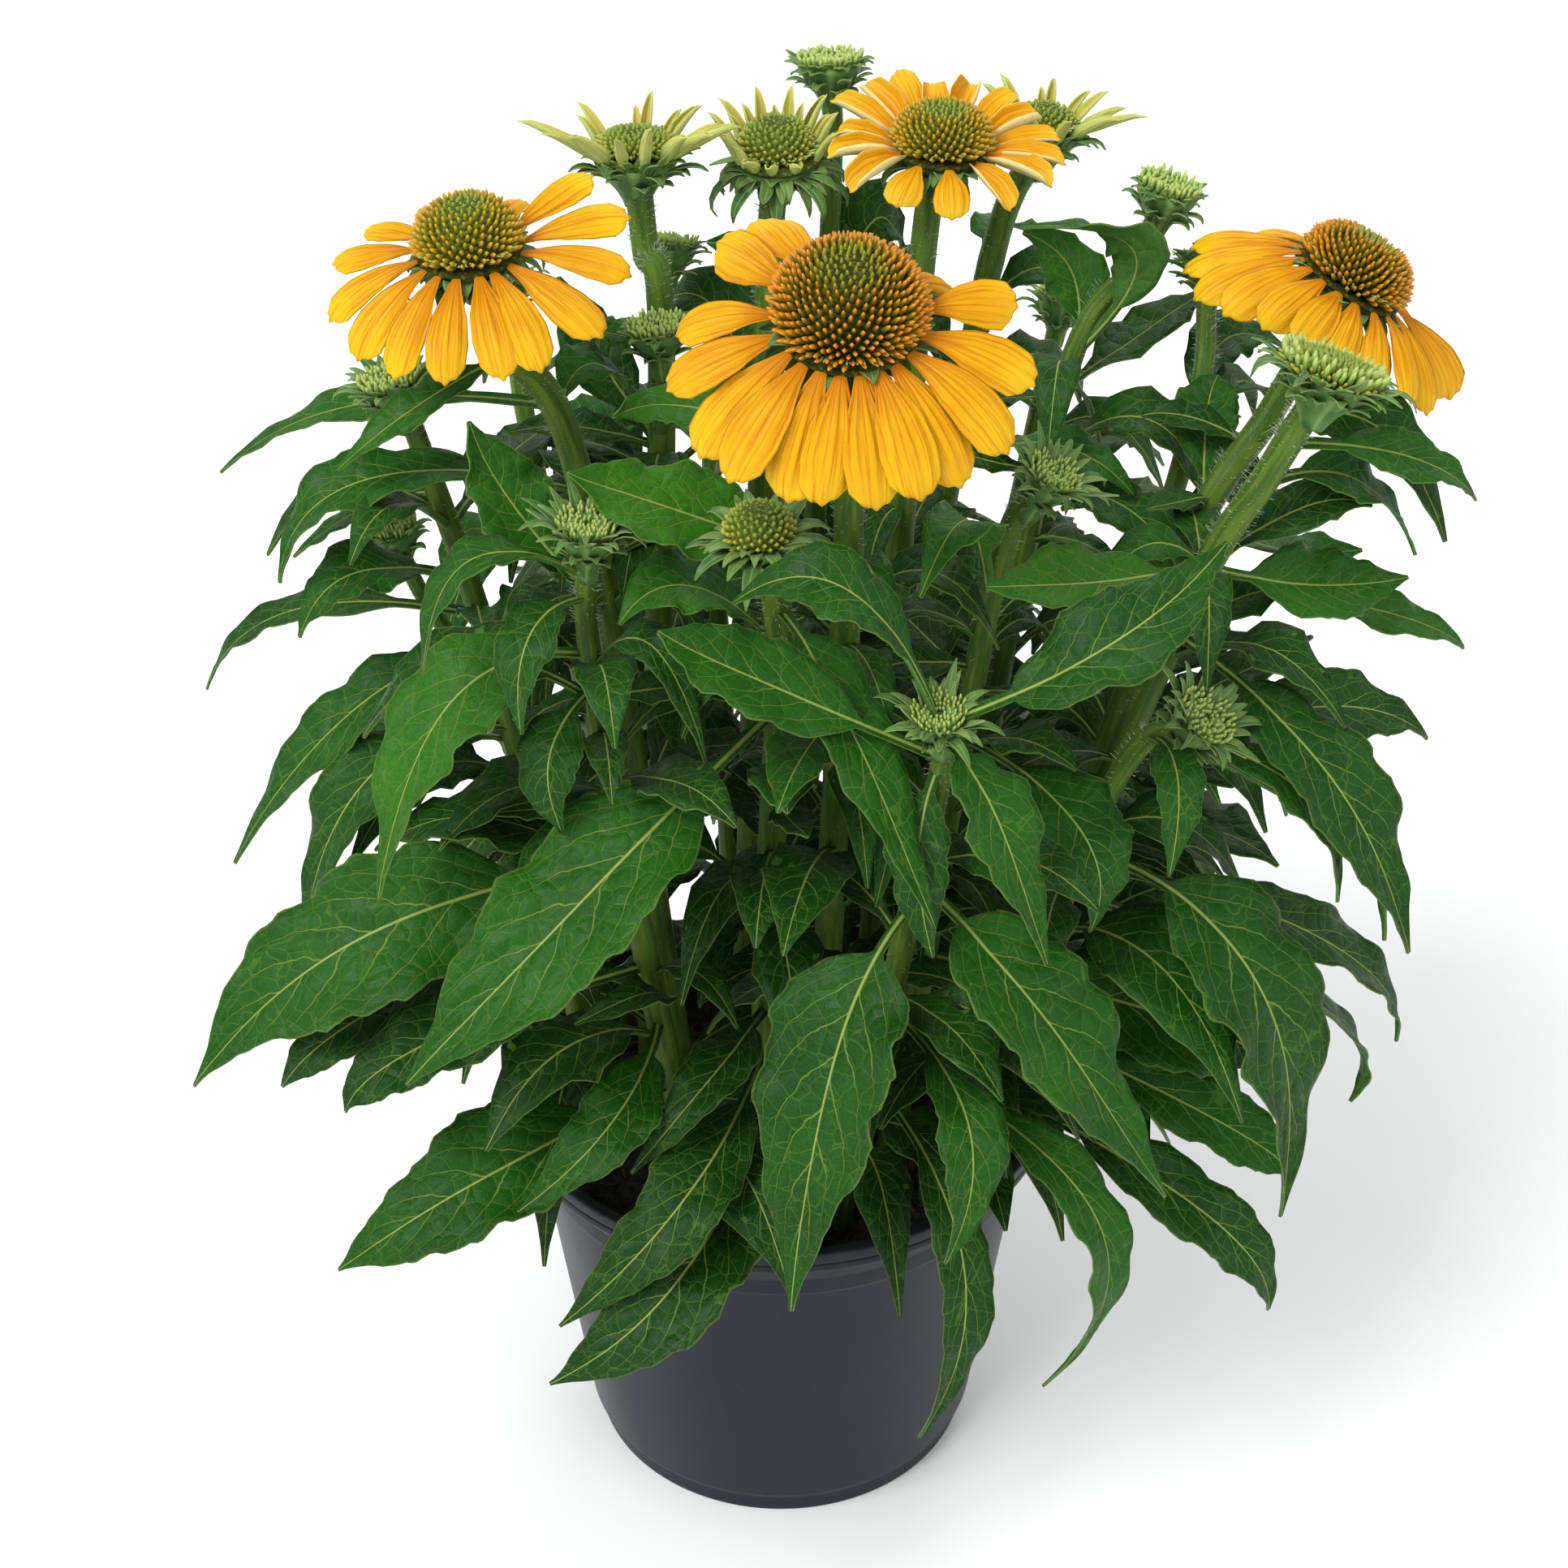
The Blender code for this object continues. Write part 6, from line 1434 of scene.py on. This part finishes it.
# %% Rays
RING_HEIGHT, RING_SHARE, QUILL_RING_SHARE, DROOP_POWER = 1.6, 0.92, 1.08, 1.2
RAY_HALF_SKIN, RAY_ROWS, QUILL_ROWS, RAY_STEPS, RAY_GROOVE = 0.16, (28, 17), (15, 11), 48, 0.062
RAY_OUTLINE = ((0.0, 0.15, 0.38, 0.62, 0.86, 0.95, 1.0), (0.20, 0.42, 0.84, 1.0, 0.88, 0.74, 0.56))
QUILL_OUTLINE = ((0.0, 0.25, 0.6, 0.85, 1.0), (0.50, 0.82, 0.66, 0.38, 0.07))
SLIM_OUTLINE = ((0.0, 0.2, 0.5, 0.8, 0.92, 1.0), (0.34, 0.72, 1.0, 0.84, 0.62, 0.30))
RAY_CURL, RAY_FACING = 24.0, {"right_bloom": 0.35}
RAYS = {               # bearing from the front, length, width, angle at the start, fall to the tip
    "front_bloom": [
        (-7, 32, 13.5, -14, 56), (8, 33, 13.5, -14, 54), (22, 33, 13.5, -6, 54),
        (36, 34, 13.0, -12, 48), (52, 34, 13.0, -2, 44), (72, 30, 12.0, 2, 38),
        (98, 23, 11.0, 8, 26), (-22, 33, 13.5, -18, 52), (-37, 34, 13.5, -6, 52),
        (-52, 34, 13.0, -12, 48), (-70, 30, 12.0, 0, 42), (-92, 26, 11.0, 8, 56),
        (-124, 21, 13.5, 14, 22), (-148, 21, 13.5, 9, 24), (15, 31, 12.0, -26, 52),
        (124, 23, 11.0, -20, 60), (150, 23, 11.0, -24, 60), (176, 23, 11.0, -24, 60),
    ],
    "left_bloom": [
        (-10, 28, 10.0, -22, 34), (-32, 29, 10.0, -18, 36), (-52, 29, 10.0, -14, 36),
        (-74, 28, 9.5, -8, 34), (-98, 24, 8.5, 0, 18), (-122, 20, 8.5, 4, 14),
        (-150, 16, 8.5, 4, 12), (14, 29, 11.0, -18, 30), (30, 30, 11.0, -16, 30),
        (52, 31, 11.0, -10, 26), (78, 29, 9.5, 2, 18), (102, 28, 10.0, 14, 16),
        (128, 26, 9.5, 22, 14), (160, 18, 9.0, 0, 16), (184, 16, 9.0, 6, 12),
    ],
    "back_bloom": [
        (6, 15, 10.0, -20, 40), (-30, 14, 9.5, -16, 36), (38, 17, 7.5, -14, 20),
        (-58, 18, 7.0, -8, 20), (-76, 19, 6.5, 6, 10), (-96, 16, 5.5, 12, 0),
        (-116, 22, 7.5, 22, 6), (-136, 20, 7.5, 28, 6), (-160, 22, 8.0, 30, 6),
        (64, 20, 7.5, -2, 10), (80, 21, 7.5, 4, 8), (98, 20, 6.5, 10, 4),
        (116, 18, 7.0, 20, 6), (138, 19, 7.5, 28, 4), (162, 18, 7.5, 28, 6),
        (184, 17, 7.5, 28, 6),
    ],
    "right_bloom": [
        (-96, 33, 10.5, -25, 34), (-80, 32, 11.0, -29, 38), (-112, 31, 9.5, -20, 28),
        (-62, 28, 11.0, -27, 38), (-42, 23, 11.0, -24, 44), (-22, 21, 11.0, -20, 44),
        (-2, 21, 11.0, -24, 42), (22, 22, 11.0, -24, 34), (44, 25, 10.0, -16, 28),
        (64, 29, 9.5, -18, 30), (86, 33, 9.5, -12, 26), (112, 27, 9.0, -14, 30),
        (138, 25, 9.0, -14, 30), (166, 25, 9.0, -14, 30), (194, 25, 9.0, -14, 30),
        (220, 19, 9.0, -12, 26),
    ],
    "left_opening": [
        (-86, 22, 4.4, 26, -8), (-64, 18, 4.4, 34, -6), (-38, 17, 4.4, 42, -6),
        (-14, 12, 4.0, 62, 0), (16, 14, 4.0, 70, 0), (44, 15, 4.4, 46, -4),
        (60, 17, 4.4, 38, -4), (84, 19, 4.4, 28, -6), (130, 14, 4.0, 46, 0),
        (170, 14, 4.0, 58, 0), (-130, 14, 4.0, 50, 0),
    ],
    "middle_opening": [
        (-30, 8, 4.2, 44, -6), (-6, 6, 4.2, 46, -4), (26, 6, 4.2, 44, -4),
        (-62, 12, 4.2, 62, -4), (-96, 14, 4.2, 62, -4), (72, 12, 4.2, 60, -6),
        (104, 12, 4.2, 64, -4), (136, 14, 4.2, 62, 0), (166, 14, 4.2, 66, 0),
        (-130, 14, 4.2, 60, 0), (-160, 14, 4.2, 66, 0),
    ],
    "rear_opening": [
        (-90, 15, 4.2, 56, 0), (-60, 15, 4.2, 58, 0), (-130, 14, 4.2, 60, 0),
        (-24, 9, 4.2, 60, 0), (20, 11, 4.2, 56, 0), (58, 16, 4.2, 40, 0),
        (86, 20, 4.2, 26, -4), (124, 16, 4.2, 40, 0), (170, 13, 4.2, 58, 0),
    ],
}


def ray(place, root, row, rolled, twist, sway, size, finish, tint, outline):
    """One ray. Along it t runs to a round edge with notches, 1 - 0.13 u^2 - 0.03 (1 - cos 3 pi u)/2.

    Its slope falls from the start by droop x t^1.2 and by a curl x t^5. Across, the point at u lies
    on an arc of half angle rolled: sideways half width x sin(rolled u), and up or down by
    1 - cos(rolled u). size is the number of its rows and columns.
    """
    rows, cols = size
    seat, axis, across, front = place
    bearing, length, width, start, droop = row
    az = math.radians(bearing)
    out = math.sin(az) * across + math.cos(az) * front
    side = np.cross(out, axis)
    u = np.linspace(-1, 1, cols)[None]
    t = np.linspace(-0.06, 1, rows)[:, None] * (1 - 0.13 * u**2 - 0.03 * (1 - np.cos(3 * np.pi * u)) / 2)
    fine = np.linspace(0, 1, RAY_STEPS + 1)
    angle = np.radians(start - droop * fine**DROOP_POWER - RAY_CURL * fine**5)
    reach, rise = (np.interp(t, fine, way) for way in strip_path(angle, length / RAY_STEPS))
    reach = reach + np.minimum(t, 0) * length
    tilt = np.interp(t, fine, angle)[..., None]
    normal = axis * np.cos(tilt) - out * np.sin(tilt)
    bow, way = abs(rolled), math.copysign(1.0, rolled)
    half = width / 2 * np.interp(t, *outline) / math.sin(min(bow, math.pi / 2))
    wide = half * np.sin(bow * u) + sway * t**2 * length
    deep = way * half * (1 - np.cos(bow * u)) + half * u * np.sin(twist * t)
    grooves = RAY_GROOVE * width * np.cos(4 * np.pi * u) * smooth(t, 0.0, 0.3) * (1.15 - t)
    mid = seat + out * (root + reach)[..., None] + axis * (RING_HEIGHT / 2 + rise)[..., None]
    points = mid + side * wide[..., None] + normal * (deep + grooves)[..., None]
    skin = normal * np.cos(bow * u)[..., None] - side * (way * np.sin(bow * u))[..., None]
    spot = np.stack(np.broadcast_arrays(u, t, 0.0), -1)
    return slab(points + skin * RAY_HALF_SKIN, points - skin * RAY_HALF_SKIN, spot, tint, 0.0, finish)


def corolla_parts(stem):
    """All rays of a head and the ring that they grow from. Beside each quill that doesn't point to the
    front stands a second, shorter one."""
    place = head_place(stem)
    quilled = stem in QUILLED
    root = HEADS[stem]["cone"][0] * (QUILL_RING_SHARE if quilled else RING_SHARE)
    parts = [turned(place, [(0, 0.1), (root - 0.6, 0.1), (root + 0.1, 0.5), (root + 0.1, 1.1),
                            (root - 0.6, 1.5), (0, 1.5)], 48, green_floor if quilled else cone_floor)]
    for row in RAYS[stem]:
        if quilled:
            bearing, length, width, start, droop = row
            between = (bearing + draw.uniform(9, 15), length * draw.uniform(0.6, 0.85), width * 0.8,
                       start + draw.uniform(0, 14), droop)
            for one in (row, between) if abs(bearing) > 50 else (row,):
                parts.append(ray(place, root, one, draw.uniform(1.5, 2.6), 0.0, draw.normal(0, 0.06),
                                 QUILL_ROWS, green_quill, draw.uniform(0, 1), QUILL_OUTLINE))
            continue
        slim = stem == "back_bloom" and row[2] < 8
        rolled = draw.uniform(1.0, 2.0) if slim else -draw.uniform(0.35, 0.8)
        twist = -RAY_FACING.get(stem, 0.25) * math.sin(math.radians(row[0])) + draw.normal(0, 0.09)
        finish = cream_ray if stem == "back_bloom" else golden_ray
        parts.append(ray(place, root, row, rolled, twist, draw.normal(0, 0.035), RAY_ROWS, finish,
                         draw.uniform(0, 1), SLIM_OUTLINE if slim else RAY_OUTLINE))
    return parts


# %% [markdown]
# A cone is a dome of stiff spines set in the spiral of all daisies: each next spine stands 137.5
# degrees further round. The outermost are the longest and the most orange, the middle of the dome is
# olive, and the florets at the top are still short, green and blunt. Yellow-green curls of spent
# florets sit between the lowest spines.

# %% Cones
GOLDEN = math.pi * (3 - math.sqrt(5))
CONE_SHOULDER = 0.14
SPINES_PER_AREA = 0.46     # spines to the square millimetre of a cone's plan
UPRIGHT = 0.5              # share of a head's lean that its green middle takes back
CONE_DENT = 0.10           # how deep the middle is sunk, as a share of the height
RIPE_SPINE, GREEN_SPINE = 0.26, 0.2     # length of a spine, as a share of the cone's radius
CONE_FINISHES = {"front_bloom": orange_spine, "right_bloom": orange_spine, "left_bloom": olive_spine,
                 "back_bloom": olive_spine}


def is_ripe(stem):
    """True for the heads whose rays are open."""
    return stem in RAYS and stem not in QUILLED


def spent_florets(stem, radius, wide):
    """Two rings of curls at the foot of a cone with rays, or of the wide green head: how far out and
    how high each stands, how many, how long and wide, how far they lean out, and their tint."""
    if stem in RAYS:
        return ((wide * 0.98, 0.9, int(radius * 2.6), 3.0, 0.75, 1.5, 0.3),
                (wide * 0.99, 1.9, int(radius * 2.2), 3.2, 0.6, 2.4, 0.8))
    if stem == "right_green":
        return ((radius * 0.86, 1.4, 34, 5.0, 1.7, 0.55, 0.9), (radius * 0.74, 2.4, 28, 4.6, 1.6, 0.3, 0.7))
    return ()


def cone_parts(stem):
    """Core dome and spines. Spine k of n is rooted on the core at the share k/n of its height,
    counted from a little below the widest part. The higher it stands, the more it is turned back
    against the lean of the head, so that the green middle looks up. Spines lean outwards and up."""
    seat, axis, across, front = head_place(stem)
    radius, height = HEADS[stem]["cone"]
    ripe = is_ripe(stem)
    finish = CONE_FINISHES.get(stem, green_spine)
    seat = seat + axis * ((RING_HEIGHT + GAP) if stem in RAYS else 0.0)
    place = (seat, axis, across, front)
    long = radius * (RIPE_SPINE if ripe else GREEN_SPINE)
    shoulder = height * CONE_SHOULDER
    wide, deep = radius - long * 0.8, height - shoulder - long * 0.62
    rise = np.radians(np.linspace(-8, 90, 15))
    core = [(0, 0.1), (radius * 0.66, 0.1)]
    core += [(wide * math.cos(a), shoulder + deep * math.sin(a)) for a in rise]
    parts = [turned(place, core, 40, cone_floor if finish == orange_spine else green_floor)]
    count = int(SPINES_PER_AREA * math.pi * radius**2)
    share = (np.arange(count) + 0.5) / count
    lift = -0.28 + 1.28 * share
    turn = GOLDEN * np.arange(count)
    level = np.sqrt(np.maximum(1 - lift**2, 0))
    back = UPRIGHT * math.acos(axis[2]) * share**2
    ahead, above = level * np.sin(turn), np.maximum(lift, 0)
    ahead, above = ahead * np.cos(back) - above * np.sin(back), lift * np.cos(back) + ahead * np.sin(back)
    flat = (level * np.cos(turn))[:, None] * across + ahead[:, None] * front
    dent = CONE_DENT * height * smooth(share, 0.80, 1.0)
    roots = seat + flat * (wide - 0.9) + axis * (shoulder + (deep - 0.9) * above - dent)[:, None]
    normal = unit(flat / wide + axis * above[:, None] / deep)
    rise_by = axis * 0.35 + np.array([0.0, 0.0, 0.4])
    heading = unit(normal + rise_by + draw.normal(0, 0.05, (count, 3)))
    size = 0.9 + long * (1.08 - 0.55 * share) * draw.uniform(0.9, 1.1, count)
    tips = roots + heading * size[:, None]
    young = smooth(share, 0.80, 0.975) if ripe else smooth(share, 0.3, 0.8)
    parts.append(spikes(roots, tips, 1.65 - 0.45 * share, finish, sides=4, steps=(0.0, 0.45, 0.8, 1.0),
                        shares=(1.0, 0.95, 0.72, 0.25), tint=draw.uniform(-1, 1, count), young=young,
                        up=share))
    for ring, row in enumerate(spent_florets(stem, radius, wide)):
        parts.append(knobs(place, ring, *row[:-1], floret_green, tint=row[-1]))
    return parts


# %% [markdown]
# All that grows from one stem becomes one piece, as in the solids: stalk, bristles, side branches,
# base or bud, bracts and leaves. The rays and the cone of a head are pieces of their own.

# %% Put the pieces together
# Leaves inside the bush keep only this share of their tint, so they come out darker: painted shade for the
# dark inside of the bush.
INNER_PAINTED_SHADE = 0.4          # share of its tint that a leaf inside the bush keeps


def leaf_tint(height):
    """Leaves high on the plant are younger and lighter."""
    return float(np.clip((height - 150) / 300 + draw.normal(0, 0.22), 0, 1))


def add_stems():
    """One piece for each stem. chance draws for the bracts in the order in which the solids were made."""
    chance = random.Random(BRACT_SEED)
    for stem in STEMS:
        own = [row for row in leaves if row[0] == stem]
        extra = [row for row in inside if row[0] == stem]
        seat, axis, _, _ = head_place(stem)
        parts = stem_stalks(stem, [row[1] for row in own + extra], seat, axis)
        for branch, (parent, _, _) in BRANCHES.items():
            if parent == stem:
                parts += branch_stalks(branch) + bud_parts(branch, chance)
        parts += bud_parts(stem, chance) if stem in BUDS else base_parts(stem, chance)
        # A leaf inside the bush takes a lower tint, which darkens it as painted shade.
        for rows, cell, shade in ((own, LEAF_CELL, 1.0), (extra, INNER_CELL, INNER_PAINTED_SHADE)):
            parts += [leaf(*row[2:], leaf_tint(row[1]) * shade, cell) for row in rows]
        make_piece("leafy_" + stem, parts, "leaf_green", "stem_" + stem)


add_stems()
for stem in RAYS:
    slot = "quill_green" if stem in QUILLED else "ray_yellow"
    make_piece("corolla_" + stem, corolla_parts(stem), slot, "rays_" + stem)
for stem in HEADS:
    slot = "cone_orange" if is_ripe(stem) else "cone_green"
    make_piece("spines_" + stem, cone_parts(stem), slot, "cone_" + stem)
print("pieces:", len(made_faces), "triangles:", sum(made_faces), "largest:", max(made_faces))
